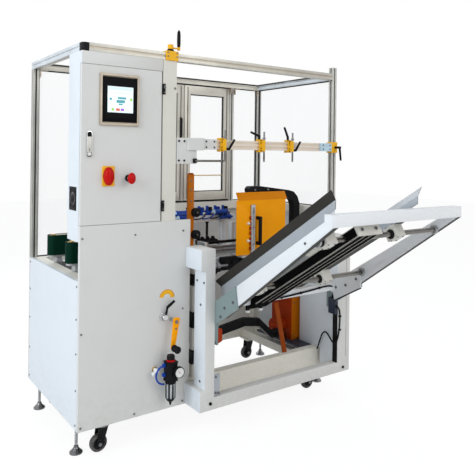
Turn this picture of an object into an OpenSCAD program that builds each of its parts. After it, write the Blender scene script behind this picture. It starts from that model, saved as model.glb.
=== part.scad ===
// Case erector: a box forming machine with a guarded body, a control cabinet and a sloping blank tray.
// Pieces are set out from the body's left front corner on the floor: X to the right, Y to the back, Z up.

/* [Body] */
// Width of the body from the left panel's face to the right panel's face
frame_w = 1640; // [1600:5:1760]
// Depth of the body from the front panel's face to the back panel's face
body_d = 800; // [760:5:880]
// Height of the body's underside over the floor
leg_h = 145; // [140:1:160]
// Height of the front panel's top edge over the floor
front_h = 1095; // [1060:5:1130]
// Width of the front panel
front_w = 590; // [585:1:610]
// Height of the left panel's top edge over the floor
side_h = 836; // [820:1:850]
// Height of the back and right panels' top edge over the floor
back_h = 1110; // [1080:5:1140]
// Thickness of a folded sheet panel
panel_t = 20; // [16:1:24]
// Width of the base frame's square tubes
tube = 50; // [40:1:55]
// Height of the base frame's front rail
front_rail_h = 113; // [90:1:130]

/* [Guard] */
// Height of the guard rails' top face over the floor
guard_h = 1945; // [1920:5:1990]
// Width of the guard's aluminium posts and rails
profile_w = 35; // [30:1:38]
// Height of the guard's aluminium rails
rail_h = 40; // [35:1:45]
// Width of a groove in the aluminium profiles
groove_w = 9; // [7:1:10]
// Depth of a groove in the aluminium profiles
groove_d = 7; // [5:1:8]
// Length of the front right post over the guard rails
post_over = 38; // [20:1:60]
// Thickness of the clear guard sheets
pane_t = 5; // [4:1:6]
// Width of one back door
back_door_w = 362; // [340:1:380]
// Gap between the two back doors
door_gap = 8; // [7:1:12]
// Gap between a back door and its hinge post
hinge_gap = 3; // [3:0.5:5]
// Distance from the left panel to the post between the doors and the fixed back sheet
back_post_x = 1359; // [1340:1:1380]
// Width of a back door's frame members
stile_w = 45; // [40:1:50]
// Distance that a back door's handle stands out of the back
handle_out = 32; // [28:1:40]
// Length of a back door's handle
handle_l = 140; // [120:5:170]

/* [Control cabinet] */
// Width of the control cabinet
cab_w = 418; // [414:1:430]
// Depth of the control cabinet
cab_d = 168; // [150:1:190]
// Sheet thickness of the control cabinet
cab_t = 4; // [3:0.5:6]
// Thickness of the control door
cab_door_t = 18; // [15:1:19]
// Height of the fixed strip over the control door
strip_h = 58; // [45:1:70]
// Height of the cabinet's skirt under the control door
skirt_h = 76; // [50:1:100]
// Width of the touch panel's frame
touch_w = 199; // [180:1:210]
// Height of the touch panel's frame
touch_h = 245; // [220:1:260]
// Thickness of the touch panel's frame
touch_t = 12; // [8:1:16]
// Width of the main switch's plate
switch_w = 62; // [56:1:70]
// Height of the main switch's plate
switch_plate_h = 95; // [85:1:105]
// Diameter of the main switch's knob
knob_d = 54; // [46:1:56]
// Diameter of the emergency stop's button
stop_d = 40; // [34:1:46]
// Distance that the emergency stop stands out of the door
stop_out = 56; // [45:1:65]
// Width of the cabinet's fan
fan_w = 100; // [90:1:110]
// Height of the cabinet's fan
fan_h = 112; // [100:1:120]

/* [Lift] */
// Distance from the left panel to the lift column
column_x = 421; // [420:1:436]
// Width of the lift column
column_w = 77; // [70:1:84]
// Depth of the lift column
column_d = 84; // [76:1:95]
// Width of the slot in the lift column's side
lift_slot_w = 24; // [20:1:30]
// Diameter of the lift screw
screw_d = 14; // [12:1:16]
// Radius of the lift crank from its screw to its grip
lift_crank_r = 48; // [40:1:60]
// Length of the lift crank's grip
lift_grip_l = 88; // [70:1:100]
// Height of the guide bar's underside over the floor
guide_z = 1461; // [1440:1:1480]
// Height of the guide bar
guide_h = 50; // [44:1:56]
// Thickness of the guide bar
guide_t = 30; // [24:1:34]
// Distance from the left panel to the guide bar's left end
guide_x = 660; // [655:1:680]
// Thickness of a rod clamp in front of the guide bar
clamp_t = 16; // [12:1:20]
// Diameter of a hold-down rod
rod_d = 10; // [8:1:12]
// Length of a hold-down rod
rod_l = 168; // [150:1:190]
// Length of a clamp lever's handle
lever_l = 62; // [54:1:66]

/* [Magazine] */
// Distance that the magazine frame stands in front of the body
mag_d = 150; // [140:1:160]
// Distance from the left panel to the magazine frame
mag_x = 565; // [560:1:580]
// Width of the magazine frame's left blocks
mag_block_w = 85; // [80:1:95]
// Width of the magazine frame's left post
mag_post_w = 58; // [52:1:64]
// Depth of the magazine frame's left post
mag_post_d = 105; // [95:1:115]
// Height of the magazine frame's top over the floor
mag_top = 958; // [940:1:980]
// Height of the magazine frame's blocks
mag_block_h = 106; // [95:1:115]
// Height of the magazine frame's bottom rail
mag_rail_h = 62; // [55:1:75]
// Width of the magazine frame's right post
mag_right_w = 100; // [90:1:110]

/* [Tray] */
// Slope of the tray
tray_tilt = 32; // [28:0.5:34]
// Distance that the tray's front bar stands in front of the body
tray_reach = 960; // [900:5:1000]
// Height of the tray arms' top edge over the floor at the magazine frame
tray_low_z = 700; // [690:1:715]
// Thickness of the tray's arms
arm_t = 30; // [26:1:34]
// Upright depth of a tray arm at its lower end
arm_low_h = 118; // [110:1:125]
// Upright depth of a tray arm at its upper end
arm_top_h = 50; // [45:1:55]
// Thickness of the plates that hold the tray's arms
bracket_t = 10; // [8:1:12]
// Diameter of the shafts that carry the tray's walls
shaft_d = 25; // [20:1:28]
// Height of a tray wall over the arms
wall_h = 66; // [58:1:74]
// Height of a tray wall's flared lip
lip_h = 34; // [28:1:40]
// Distance that a tray wall's lip flares outwards
lip_flare = 26; // [16:1:30]
// Sheet thickness of a tray wall
wall_t = 3; // [2:0.5:4]
// Width of a tray wall's bottom flange
flange_w = 60; // [50:1:66]
// Distance from the left panel to the left tray wall's inner face
left_wall_x = 706; // [704:1:715]
// Distance from the left panel to the right tray wall's inner face
right_wall_x = 1223; // [1200:1:1260]
// Width of the tray's centre beam
beam_w = 130; // [120:1:140]
// Distance from the left panel to the tray's centre beam
beam_x = 855; // [850:1:870]
// Thickness of the tray's centre beam
beam_t = 46; // [44:1:52]

/* [Forming table] */
// Distance from the front panel's face to the near side belt's middle
near_belt_y = 265; // [255:1:275]
// Distance from the front panel's face to the far side belt's middle
far_belt_y = 550; // [530:1:580]
// Height of a side belt
belt_h = 108; // [95:1:120]
// Width over a side belt's loop
belt_loop_w = 62; // [54:1:66]
// Thickness of a side belt
belt_t = 4; // [3:0.5:5]
// Length of a side belt's loop
belt_l = 660; // [600:5:680]
// Distance from the front panel's face to the flap plate
flap_y = 150; // [140:1:156]
// Width of the flap plate
flap_w = 370; // [340:5:380]
// Height of the flap plate up to its bend
flap_h = 320; // [290:2:324]
// Length of the flap plate's bent lip
flap_lip = 52; // [40:1:60]
// Width of the black folding arm from its tip to its leg
fold_l = 405; // [390:1:420]
// Thickness of the black folding arm
fold_t = 48; // [40:1:54]

/* [Feet] */
// Distance from the body's sides to the levelling feet
foot_inset = 36; // [34:1:40]
// Diameter of a levelling foot
foot_d = 62; // [56:1:66]
// Diameter of a caster's wheel
wheel_d = 84; // [78:1:88]
// Width of a caster's wheel
wheel_w = 26; // [22:1:28]
// Distance from the body's sides to the casters
caster_inset = 146; // [144:1:160]
// Distance from a caster's swivel to its axle
caster_trail = 20; // [16:1:22]

/* [Hidden] */
$fn = 48;
slide_gap = 0.4;
pin_gap = 0.1;
bore_gap = 0.1;
seat_gap = 0.3;

// Origin: the middle of the whole box, on the floor
x0 = -frame_w / 2;
y0 = (tray_reach - body_d - handle_out) / 2;

// Colours
white_paint = "#e6e6e2";
cool_white = "#dfe6ec";
silver = "#b9b8b2";
clear_sheet = [0.85, 0.92, 0.95, 0.3];
orange_paint = "#e58e12";
yellow_paint = "#eeb12a";
black_plastic = "#1c1d1f";
grey_steel = "#9a9c9d";
belt_green = "#12432f";
signal_red = "#c9201d";
tube_blue = "#1f4fae";

// Body
rail_z = guard_h - rail_h;
door_zone_x = back_post_x - 2 * hinge_gap - 2 * back_door_w - door_gap;
step_post_x = door_zone_x - profile_w;
back_hinge_y = 4.5;
inner_x = [panel_t, frame_w - panel_t];
inner_y = [panel_t, body_d - panel_t];

// Control cabinet
strip_z = rail_z - strip_h;
cab_door_gap = 2;
cab_door_x = 1;
hinge_x = cab_w - 2;
hinge_y = -5;
hinge_d = 9;
hinge_h = 46;
hinge_z = [front_h + 54, strip_z - 112];
cab_door_w = hinge_x - 3 - cab_door_x;
touch_x = 86;
touch_z = front_h + 469;
switch_x = 103;
switch_z = front_h + 182;
knob_x = switch_x + switch_w / 2 - 4;
knob_z = switch_z + switch_plate_h / 2;
knob_l = 34;
plate_t = 6;
stop_x = 236;
stop_z = front_h + 219;
lock_x = 24;
lock_z = front_h + 320;
lock_w = 29;
lock_l = 120;
fan_y = 50;
fan_z = front_h + 66;
fan_t = 12;

// Lift
screw_y = profile_w / 2;
screw_x = column_x + column_w * 0.62;
slide_h = 133;
slide_w = 120;
slide_t = 12;
slide_z = guide_z - 78;
slide_x = column_x + column_w + 5;
slot_y = column_d / 2 - lift_slot_w / 2;
bar_y = 6;
guide_end = frame_w - profile_w - 95;
post_x = frame_w - profile_w;
clamp_w = 44;
clamp_h = guide_h + 24;
clamp_x = [774, 1039, 1250];
lever_d = 12;

// Magazine
mag_left_in = mag_x + mag_block_w;
mag_right = frame_w - panel_t;
mag_right_in = mag_right - mag_right_w;
mag_z = leg_h + 5;

// Tray
arm_left = mag_left_in + bracket_t;
arm_right = mag_right_in - bracket_t;
tray_y = -mag_d - 8;
arm_low_y = tray_y - 52;
arm_end_y = -mag_d + 20;
shaft_z = -beam_t / 2 - 14;
shaft_y = [-774, -230];
beam_top = -14;
beam_y = [-855, -30];
block_w = 60;
block_l = 64;
block_h = 50;
crossbar_d = 50;
wall_low = 0;
wall_mid = -868;
wall_top = -948;
notch_z = 34;

// Forming table
table_y = [190, body_d - 240];
belt_x = 25;
belt_z = side_h + 44;
table_end = frame_w - panel_t - tube;
flap_x = table_end - 580;
fold_x = table_end - 453;
fold_z = side_h + 408;
fold_y = [table_y[0] + 10, table_y[0] + 60];
fold_leg_x = fold_x + fold_l - fold_t;
stand_t = 10;
deck_t = 10;
deck_z = leg_h + front_rail_h - deck_t;
deck_x = [table_end - 150, table_end - 2];
deck_y = [panel_t + tube, body_d - 300];
lean_x = table_end - 298;
suction_x = 640;

// Front panel fittings
crank_x = 482;
crank_z = 595;
crank_arm_l = 138;
crank_arm_t = 6;
crank_out = 50;
lever_x = 434;
lever_z = 616;
reg_x = 452;
reg_y = -56;
reg_z = 309;
reg_w = 56;
reg_h = 97;
bowl_d = 50;
bowl_l = 108;

// Feet
foot_y = [112, body_d - 104];
caster_y = [62, body_d - 110];
caster_pad = 8;
fork_z = leg_h - caster_pad;
axle_z = wheel_d / 2 + 2;

// Moves what is set out from the body's left front corner to the origin
module machine() {
    translate([x0, y0, 0])
        children();
}

// A block between two values on each axis
module span(x, y, z) {
    translate([x[0], y[0], z[0]])
        cube([x[1] - x[0], y[1] - y[0], z[1] - z[0]]);
}

// A cylinder along Y from y[0] to y[1]
module rod_y(x, y, z, d) {
    translate([x, y[1], z])
        rotate([90, 0, 0])
            cylinder(d = d, h = y[1] - y[0]);
}

// A cylinder along X from x[0] to x[1]
module rod_x(x, y, z, d) {
    translate([x[0], y, z])
        rotate([0, 90, 0])
            cylinder(d = d, h = x[1] - x[0]);
}

// Cross-section of an aluminium profile with a groove in the middle of each side
module profile_section(w, h) {
    difference() {
        square([w, h]);
        for (y = [-1, h - groove_d])
            translate([(w - groove_w) / 2, y])
                square([groove_w, groove_d + 1]);
        for (x = [-1, w - groove_d])
            translate([x, (h - groove_w) / 2])
                square([groove_d + 1, groove_w]);
    }
}

module profile_x(x, y, z, w, h) {
    translate([x[0], y, z])
        rotate([90, 0, 90])
            linear_extrude(x[1] - x[0])
                profile_section(w, h);
}

module profile_y(x, y, z, w, h) {
    translate([x, y[1], z])
        rotate([90, 0, 0])
            linear_extrude(y[1] - y[0])
                profile_section(w, h);
}

module profile_z(x, y, z, w, h) {
    translate([x, y, z[0]])
        linear_extrude(z[1] - z[0])
            profile_section(w, h);
}

// Extrudes an outline in Y and Z from x[0] to x[1]
module side_outline(x, points) {
    translate([x[0], 0, 0])
        rotate([90, 0, 90])
            linear_extrude(x[1] - x[0])
                polygon(points);
}

// Tray frame of reference: Y runs down the slope from the arms' lower end, Z stands square to it
module on_slope() {
    translate([0, tray_y, tray_low_z])
        rotate([-tray_tilt, 0, 0])
            children();
}

function arm_top_z(y) = tray_low_z + (tray_y - y) * tan(tray_tilt);
function arm_depth(y) = arm_low_h + (arm_top_h - arm_low_h) * (tray_y - y) / (tray_reach + tray_y);

module base_frame() {
    x = inner_x;
    y = inner_y;
    left = [x[0], x[0] + tube];
    right = [x[1] - tube, x[1]];
    front = [y[0], y[0] + tube];
    back = [y[1] - tube, y[1]];
    low = [leg_h, leg_h + tube];
    mid = [side_h - tube, side_h];
    high = [back_h - tube, back_h];
    color(white_paint) machine() union() {
        span(x, front, [leg_h, leg_h + front_rail_h]);
        span(x, back, low);
        span(left, y, low);
        span(right, y, low);
        span(left, front, [leg_h, front_h - skirt_h]);
        span(left, back, [leg_h, side_h]);
        span(right, front, [leg_h, back_h]);
        span(right, back, [leg_h, back_h]);
        span([step_post_x, step_post_x + tube], back, [leg_h, back_h]);
        span(left, y, mid);
        span(right, y, mid);
        span(x, back, mid);
        span(right, y, high);
        span([step_post_x, x[1]], back, high);
        for (cx = [caster_inset, frame_w - caster_inset], cy = caster_y)
            caster_plate(cx, cy);
        for (cx = [caster_inset, frame_w - caster_inset])
            span([cx - tube / 2, cx + tube / 2], y, low);
    }
}

module caster_plate(x, y) {
    pad = 45;
    difference() {
        span([x - pad, x + pad], [y - pad, y + pad], [fork_z, leg_h]);
        translate([x, y, fork_z - 1])
            cylinder(d = screw_d + 2 * pin_gap, h = caster_pad + 2);
    }
}

module left_side_panel() {
    color(cool_white) machine()
        span([0, panel_t], inner_y, [leg_h, side_h]);
}

module front_panel() {
    color(white_paint) machine()
        span([0, front_w], [0, panel_t], [leg_h, front_h]);
}

module back_panel() {
    y = [body_d - panel_t, body_d];
    color(white_paint) machine() union() {
        span([0, frame_w], y, [leg_h, side_h]);
        span([step_post_x, frame_w], y, [leg_h, back_h]);
    }
}

module right_side_panel() {
    color(cool_white) machine()
        span([frame_w - panel_t, frame_w], [0, body_d - panel_t], [leg_h, back_h]);
}

module electrical_cabinet() {
    x = [0, cab_w];
    y = [panel_t, cab_d];
    color(white_paint) machine() difference() {
        union() {
            span(x, y, [front_h - skirt_h, rail_z]);
            span(x, [0, panel_t], [strip_z, rail_z]);
        }
        span([cab_t, cab_w - cab_t], [panel_t - 1, cab_d - cab_t], [front_h + cab_t, rail_z - cab_t]);
        span([-1, cab_t + 1], [fan_y, fan_y + fan_w], [fan_z, fan_z + fan_h]);
    }
}

module cabinet_fan() {
    bars = 6;
    pitch = fan_h / bars;
    color(black_plastic) machine() difference() {
        span([0, fan_t], [fan_y, fan_y + fan_w], [fan_z, fan_z + fan_h]);
        for (i = [0 : bars - 1])
            span([-1, fan_t / 2], [fan_y + 8, fan_y + fan_w - 8],
                 [fan_z + (i + 0.3) * pitch, fan_z + (i + 0.75) * pitch]);
    }
}

module door_hinges() {
    color(black_plastic) machine()
        for (z = hinge_z)
            translate([hinge_x, hinge_y, z])
                hinge_knuckle(hinge_h);
}

module hinge_knuckle(h) {
    union() {
        cylinder(d = hinge_d, h = h);
        span([0, column_x - hinge_x], [-hinge_y - 3, -hinge_y + 5], [0, h]);
        span([0, 4], [0, -hinge_y], [0, h]);
    }
}

module lift_column() {
    x = [column_x, column_x + column_w];
    color(white_paint) machine() difference() {
        span(x, [0, column_d], [front_h, rail_z]);
        span([x[1] - 34, x[1] + 1], [slot_y, slot_y + lift_slot_w], [front_h + 30, rail_z - 30]);
        translate([screw_x, screw_y, rail_z - 40])
            cylinder(d = screw_d + 2 * pin_gap, h = 41);
    }
}

module crank_block() {
    wall = 8;
    x = [screw_x - 36, screw_x + 34];
    color(yellow_paint) machine() difference() {
        union() {
            span(x, [-wall, 0], [rail_z, guard_h + wall]);
            span(x, [-wall, profile_w + wall], [guard_h, guard_h + wall]);
            translate([screw_x, screw_y, guard_h + wall])
                cylinder(d = 32, h = 10);
        }
        translate([screw_x, screw_y, guard_h - 1])
            cylinder(d = screw_d + 2 * pin_gap, h = wall + 12);
    }
}

module guard_rails() {
    w = profile_w;
    color(silver) machine() difference() {
        union() {
            profile_x([w, post_x], 0, rail_z, w, rail_h);
            profile_x([w, post_x], body_d - w, rail_z, w, rail_h);
            profile_y(0, [w, body_d], rail_z, w, rail_h);
            profile_y(post_x, [w, body_d], rail_z, w, rail_h);
        }
        translate([screw_x, screw_y, rail_z - 1])
            cylinder(d = screw_d + 2 * pin_gap, h = rail_h + 2);
    }
}

module guard_posts() {
    w = profile_w;
    y = body_d - w;
    color(silver) machine() {
        profile_z(0, y, [side_h, rail_z], w, w);
        profile_z(step_post_x, y, [back_h, rail_z], w, w);
        profile_z(back_post_x, y, [back_h, rail_z], w, w);
        profile_z(post_x, y, [back_h, rail_z], w, w);
        profile_z(post_x, 0, [back_h, guard_h + post_over], w, w);
    }
}

module guard_corner_cap() {
    w = profile_w;
    color(black_plastic) machine() intersection() {
        span([0, w], [0, w], [rail_z, guard_h]);
        translate([w, w, rail_z])
            cylinder(r = w * 1.2, h = rail_h);
    }
}

module guard_windows() {
    y = [body_d - profile_w / 2 - pane_t / 2, body_d - profile_w / 2 + pane_t / 2];
    x = [frame_w - profile_w / 2 - pane_t / 2, frame_w - profile_w / 2 + pane_t / 2];
    color(clear_sheet) machine() {
        span([profile_w, step_post_x], y, [side_h, rail_z]);
        span([back_post_x + profile_w, post_x], y, [back_h, rail_z]);
        span(x, [profile_w, body_d - profile_w], [back_h, rail_z]);
    }
}

// Frame of a back door with its clear opening, from its hinge side x0 to x1
module back_door_frame(x) {
    y = [body_d - profile_w, body_d - 3];
    z = [back_h + 13, rail_z - 10];
    difference() {
        span(x, y, z);
        span([x[0] + stile_w, x[1] - stile_w], [y[0] - 1, y[1] + 1],
             [z[0] + stile_w + 12, z[1] - stile_w - 12]);
    }
}

module back_door_pane(x) {
    y = body_d - profile_w / 2;
    z = [back_h + 13, rail_z - 10];
    span([x[0] + stile_w, x[1] - stile_w], [y - pane_t / 2, y + pane_t / 2],
         [z[0] + stile_w + 12, z[1] - stile_w - 12]);
}

left_door_x = [door_zone_x + hinge_gap, door_zone_x + hinge_gap + back_door_w];
right_door_x = [back_post_x - hinge_gap - back_door_w, back_post_x - hinge_gap];

module door_hinge_pair(x, side) {
    for (z = [back_h + 120, rail_z - 180])
        translate([x, body_d + back_hinge_y, z])
            union() {
                cylinder(d = 8, h = 60);
                span([min(0, side * 22), max(0, side * 22)], [-back_hinge_y - 3, -2], [0, 60]);
            }
}

module left_guard_door() {
    x = left_door_x;
    z = (back_h + rail_z) / 2 + 30;
    grip_x = x[1] - stile_w / 2;
    color(silver) machine() union() {
        back_door_frame(x);
        door_hinge_pair(x[0] - hinge_gap / 2, 1);
        for (dz = [0, handle_l - 14])
            span([grip_x - 7, grip_x + 7], [body_d - 3, body_d + handle_out], [z + dz, z + dz + 14]);
        span([grip_x - 7, grip_x + 7], [body_d + handle_out - 12, body_d + handle_out], [z, z + handle_l]);
    }
}

module left_door_pane() {
    color(clear_sheet) machine()
        back_door_pane(left_door_x);
}

module right_guard_door() {
    color(silver) machine() union() {
        back_door_frame(right_door_x);
        door_hinge_pair(right_door_x[1] + hinge_gap / 2, -1);
    }
}

module right_door_pane() {
    color(clear_sheet) machine()
        back_door_pane(right_door_x);
}

module control_door() {
    x = [cab_door_x, cab_door_x + cab_door_w];
    z = [front_h + cab_door_gap, strip_z - cab_door_gap];
    color(white_paint) machine() union() {
        span(x, [0, cab_door_t], z);
        for (hz = hinge_z)
            difference() {
                span([x[1] - 16, x[1]], [-3, 1], [hz, hz + hinge_h]);
                translate([hinge_x, hinge_y, hz - 1])
                    cylinder(d = hinge_d + 2 * seat_gap, h = hinge_h + 2);
            }
    }
}

module touch_panel() {
    x = [touch_x, touch_x + touch_w];
    z = [touch_z, touch_z + touch_h];
    rim = 13;
    color(black_plastic) machine() difference() {
        span(x, [-touch_t, 0], z);
        span([x[0] + rim + 22, x[1] - rim - 22], [-touch_t - 1, -touch_t + 2],
             [z[0] + rim + 45, z[1] - rim - 44]);
    }
}

module door_lock() {
    color(silver) machine() difference() {
        union() {
            span([lock_x, lock_x + lock_w], [-plate_t, 0],
                 [lock_z + lock_w / 2, lock_z + lock_l - lock_w / 2]);
            for (z = [lock_z + lock_w / 2, lock_z + lock_l - lock_w / 2])
                rod_y(lock_x + lock_w / 2, [-plate_t, 0], z, lock_w);
        }
        span([lock_x + 8, lock_x + lock_w - 8], [-plate_t - 1, -plate_t + 3],
             [lock_z + 22, lock_z + lock_l - 22]);
    }
}

module switch_plate() {
    color(yellow_paint) machine()
        span([switch_x, switch_x + switch_w], [-plate_t, 0], [switch_z, switch_z + switch_plate_h]);
}

module main_switch_knob() {
    y = [-plate_t - seat_gap - knob_l, -plate_t - seat_gap];
    bar = 16;
    color(signal_red) machine() union() {
        rod_y(knob_x, [y[1] - 14, y[1]], knob_z, knob_d);
        span([knob_x - bar / 2, knob_x + bar / 2], y,
             [knob_z - knob_d / 2 + 3, knob_z + knob_d / 2 - 3]);
    }
}

module emergency_stop() {
    color(signal_red) machine() union() {
        rod_y(stop_x, [-20, 0], stop_z, stop_d - 4);
        rod_y(stop_x, [-stop_out + 18, -20], stop_z, 22);
        rod_y(stop_x, [-stop_out, -stop_out + 18], stop_z, stop_d);
    }
}

module lift_crank() {
    z = guard_h + 20;
    hub_h = 24;
    color(yellow_paint) machine() union() {
        translate([screw_x, screw_y, rail_z - 38])
            cylinder(d = screw_d, h = z + hub_h - rail_z + 38);
        translate([screw_x, screw_y, z])
            cylinder(d = 30, h = hub_h);
        span([screw_x, screw_x + lift_crank_r], [screw_y - 5, screw_y + 5], [z + 4, z + 12]);
        translate([screw_x + lift_crank_r, screw_y, z])
            cylinder(d = 16, h = 16);
        translate([screw_x + lift_crank_r, screw_y, z + 16])
            cylinder(d = 19, h = lift_grip_l);
    }
}

module guide_slide() {
    y = [bar_y - 4, bar_y - 4 + slide_t];
    tube_w = guide_h + 14;
    tongue = [slot_y + slide_gap, slot_y + lift_slot_w - slide_gap];
    tongue_x = [column_x + column_w - 28, slide_x + 24];
    color(white_paint) machine() union() {
        span([slide_x, slide_x + slide_w], y, [slide_z, slide_z + slide_h]);
        span([slide_x, slide_x + 24], [y[1], tongue[1]], [slide_z + 10, slide_z + slide_h - 10]);
        span(tongue_x, tongue, [slide_z + 10, slide_z + slide_h - 10]);
        span([slide_x + 62, guide_x], [bar_y - 20, bar_y + 44], [guide_z - 7, guide_z - 7 + tube_w]);
        span([guide_x, guide_x + 84], [bar_y - 12, bar_y], [guide_z - 3, guide_z + guide_h + 3]);
    }
}

module guide_bar() {
    color(silver) machine()
        guide_section();
}

// Flat aluminium bar with two grooves in its front and back
module guide_section() {
    groove = 8;
    difference() {
        span([guide_x, guide_end], [bar_y, bar_y + guide_t], [guide_z, guide_z + guide_h]);
        for (z = [guide_h * 0.28, guide_h * 0.72], y = [bar_y - 1, bar_y + guide_t - 6])
            span([guide_x - 1, guide_end + 1], [y, y + 7],
                 [guide_z + z - groove / 2, guide_z + z + groove / 2]);
    }
}

module rod_clamps() {
    z = [guide_z - 12, guide_z - 12 + clamp_h];
    color(yellow_paint) machine() {
        for (x = clamp_x)
            difference() {
                union() {
                    span([x - clamp_w / 2, x + clamp_w / 2], [bar_y - clamp_t, bar_y], z);
                    span([x - clamp_w / 2, x + clamp_w / 2], [bar_y, bar_y + guide_t], [z[0], guide_z]);
                    span([x - clamp_w / 2, x + clamp_w / 2], [bar_y, bar_y + guide_t],
                         [guide_z + guide_h, z[1]]);
                    span([x, x + 24], [bar_y - clamp_t - 22, bar_y - clamp_t], [z[0] + 6, z[1] - 6]);
                }
                translate([x + 12, bar_y - clamp_t - 12, z[0] - 1])
                    cylinder(d = rod_d + 2 * bore_gap, h = clamp_h + 2);
            }
        post_clamp();
    }
}

// Clamp that holds the guide bar's right end to the front right post
module post_clamp() {
    z = [guide_z - 8, guide_z + guide_h + 8];
    wall = 12;
    gap = slide_gap;
    groove_x = [post_x + (profile_w - groove_w) / 2 + gap, post_x + (profile_w + groove_w) / 2 - gap];
    union() {
        span([post_x - wall, frame_w - 1], [-wall - gap, -gap], z);
        span([post_x - wall, post_x - gap], [-wall - gap, profile_w], z);
        span(groove_x, [-1, groove_d - 1], z);
        span([guide_end, post_x - wall], [bar_y - 14, bar_y + 14], [guide_z + 2, guide_z + guide_h - 2]);
    }
}

module hold_down_rods() {
    color(silver) machine()
        for (x = clamp_x)
            translate([x + 12, bar_y - clamp_t - 12, guide_z - 66])
                cylinder(d = rod_d, h = rod_l);
}

// Clamp lever: a short neck and a bent handle
module clamp_lever(turn, lean) {
    rotate([0, turn, 0]) union() {
        cylinder(d = lever_d, h = 20);
        translate([0, 0, 16])
            rotate([0, lean, 0])
                cylinder(d1 = lever_d - 1, d2 = lever_d - 3, h = lever_l);
    }
}

module clamp_levers() {
    lever_y = bar_y - clamp_t - 11;
    top = guide_z - 12 + clamp_h;
    color(black_plastic) machine() {
        translate([clamp_x[0] + 10 + clamp_w / 2, lever_y + 3, guide_z - 12 + 14])
            side_lever(35);
        translate([clamp_x[1] - 8, bar_y - clamp_t / 2, top])
            clamp_lever(0, -70);
        translate([clamp_x[2] - 8, bar_y - clamp_t / 2, top])
            clamp_lever(0, -25);
        translate([clamp_x[2] + 10 + clamp_w / 2, lever_y + 3, guide_z - 12 + 14])
            side_lever(35);
        translate([frame_w - 20, -12 - slide_gap, guide_z + guide_h / 2])
            post_lever();
    }
}

// Lever on a clamp's side, standing out along X and leaning upwards
module side_lever(lean) {
    union() {
        rod_x([-8, 10], 0, 0, lever_d);
        translate([8, 0, 0])
            rotate([0, lean, 0])
                cylinder(d1 = lever_d - 1, d2 = lever_d - 3, h = lever_l);
    }
}

// Lever in front of the post clamp, hanging down
module post_lever() {
    union() {
        rod_y(0, [-44, 0], 0, lever_d);
        translate([0, -38, 2])
            rotate([0, 172, 0])
                cylinder(d1 = lever_d - 1, d2 = lever_d - 3, h = lever_l + 20);
    }
}

module filter_regulator() {
    z = [reg_z, reg_z + reg_h];
    color(black_plastic) machine() union() {
        span([reg_x - reg_w / 2, reg_x + reg_w / 2], [reg_y - 26, reg_y + 26], z);
        span([reg_x - 20, reg_x + 20], [reg_y + 26, 0], [z[1] - 50, z[1] - 12]);
        translate([reg_x, reg_y, z[1]])
            cylinder(d = 40, h = 30);
        rod_y(reg_x + 34, [reg_y - 40, reg_y - 18], reg_z + 42, 46);
        rod_x([reg_x + reg_w / 2 - 2, reg_x + 34], reg_y - 20, reg_z + 42, 14);
    }
}

module regulator_bowl() {
    color("#c7ccce") machine()
        translate([reg_x, reg_y, reg_z - bowl_l])
            union() {
                cylinder(d1 = 20, d2 = bowl_d, h = 14);
                translate([0, 0, 14])
                    cylinder(d = bowl_d, h = bowl_l - 14);
                translate([0, 0, -12])
                    cylinder(d = 10, h = 13);
            }
}

module air_tubes() {
    ring_r = 46;
    color(tube_blue) machine()
        translate([reg_x - reg_w / 2, reg_y + 12, reg_z + 30])
            rotate([90, 0, 0])
                rotate([0, 0, 90])
                    rotate_extrude(angle = 180)
                        translate([ring_r, 0])
                            circle(d = 9);
}

module lock_lever() {
    color(black_plastic) machine() union() {
        rod_y(lever_x, [-30, -seat_gap], lever_z, 32);
        translate([lever_x + 5, -21, lever_z + 4])
            rotate([0, 12, 0])
                cylinder(d = 12, h = 52);
        translate([lever_x + 15, -21, lever_z + 48])
            rotate([0, 55, 0])
                cylinder(d = 14, h = 48);
    }
}

module adjust_crank() {
    y = [-crank_out - crank_arm_t, -crank_out];
    hub_d = 38;
    end_d = 22;
    color(orange_paint) machine() union() {
        rod_y(crank_x, [y[0] - 6, -seat_gap], crank_z, 20);
        translate([crank_x, y[1], crank_z])
            rotate([90, 8, 0])
                linear_extrude(crank_arm_t)
                    polygon([[-hub_d / 2, 22], [hub_d / 2, 22],
                             [end_d / 2, -crank_arm_l], [-end_d / 2, -crank_arm_l]]);
        translate([crank_x, y[0], crank_z])
            rotate([0, 8, 0])
                rod_y(0, [-58, crank_arm_t], -crank_arm_l + 11, 20);
    }
}

module levelling_feet() {
    color(grey_steel) machine()
        for (x = [foot_inset, frame_w - foot_inset], y = foot_y)
            translate([x, y, 0])
                levelling_foot();
}

module levelling_foot() {
    union() {
        rotate_extrude()
            polygon([[0, 0], [foot_d / 2, 0], [foot_d / 2, 7], [13, 24], [9, 34], [0, 34]]);
        cylinder(d = 14, h = leg_h);
        translate([0, 0, leg_h - 24])
            cylinder(d = 26, h = 12, $fn = 6);
    }
}

// Fork of a swivel caster, with its pin in the caster plate
module caster_fork(x, y) {
    plate = 6;
    half = wheel_w / 2 + 5;
    color(black_plastic) machine() translate([x, y, 0]) difference() {
        union() {
            translate([0, 0, fork_z - 12 - seat_gap])
                cylinder(d = 62, h = 12);
            translate([0, 0, fork_z - 12])
                cylinder(d = screw_d, h = 12 + caster_pad);
            for (s = [-1, 1])
                translate([0, s * (half + plate / 2), 0])
                    rotate([90, 0, 0])
                        linear_extrude(plate, center = true)
                            polygon([[-24, fork_z - 6], [24, fork_z - 6], [-caster_trail + 14, axle_z - 12],
                                     [-caster_trail - 14, axle_z - 12]]);
            rod_y(-caster_trail, [-half - plate, half + plate], axle_z, 12);
        }
    }
}

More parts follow.
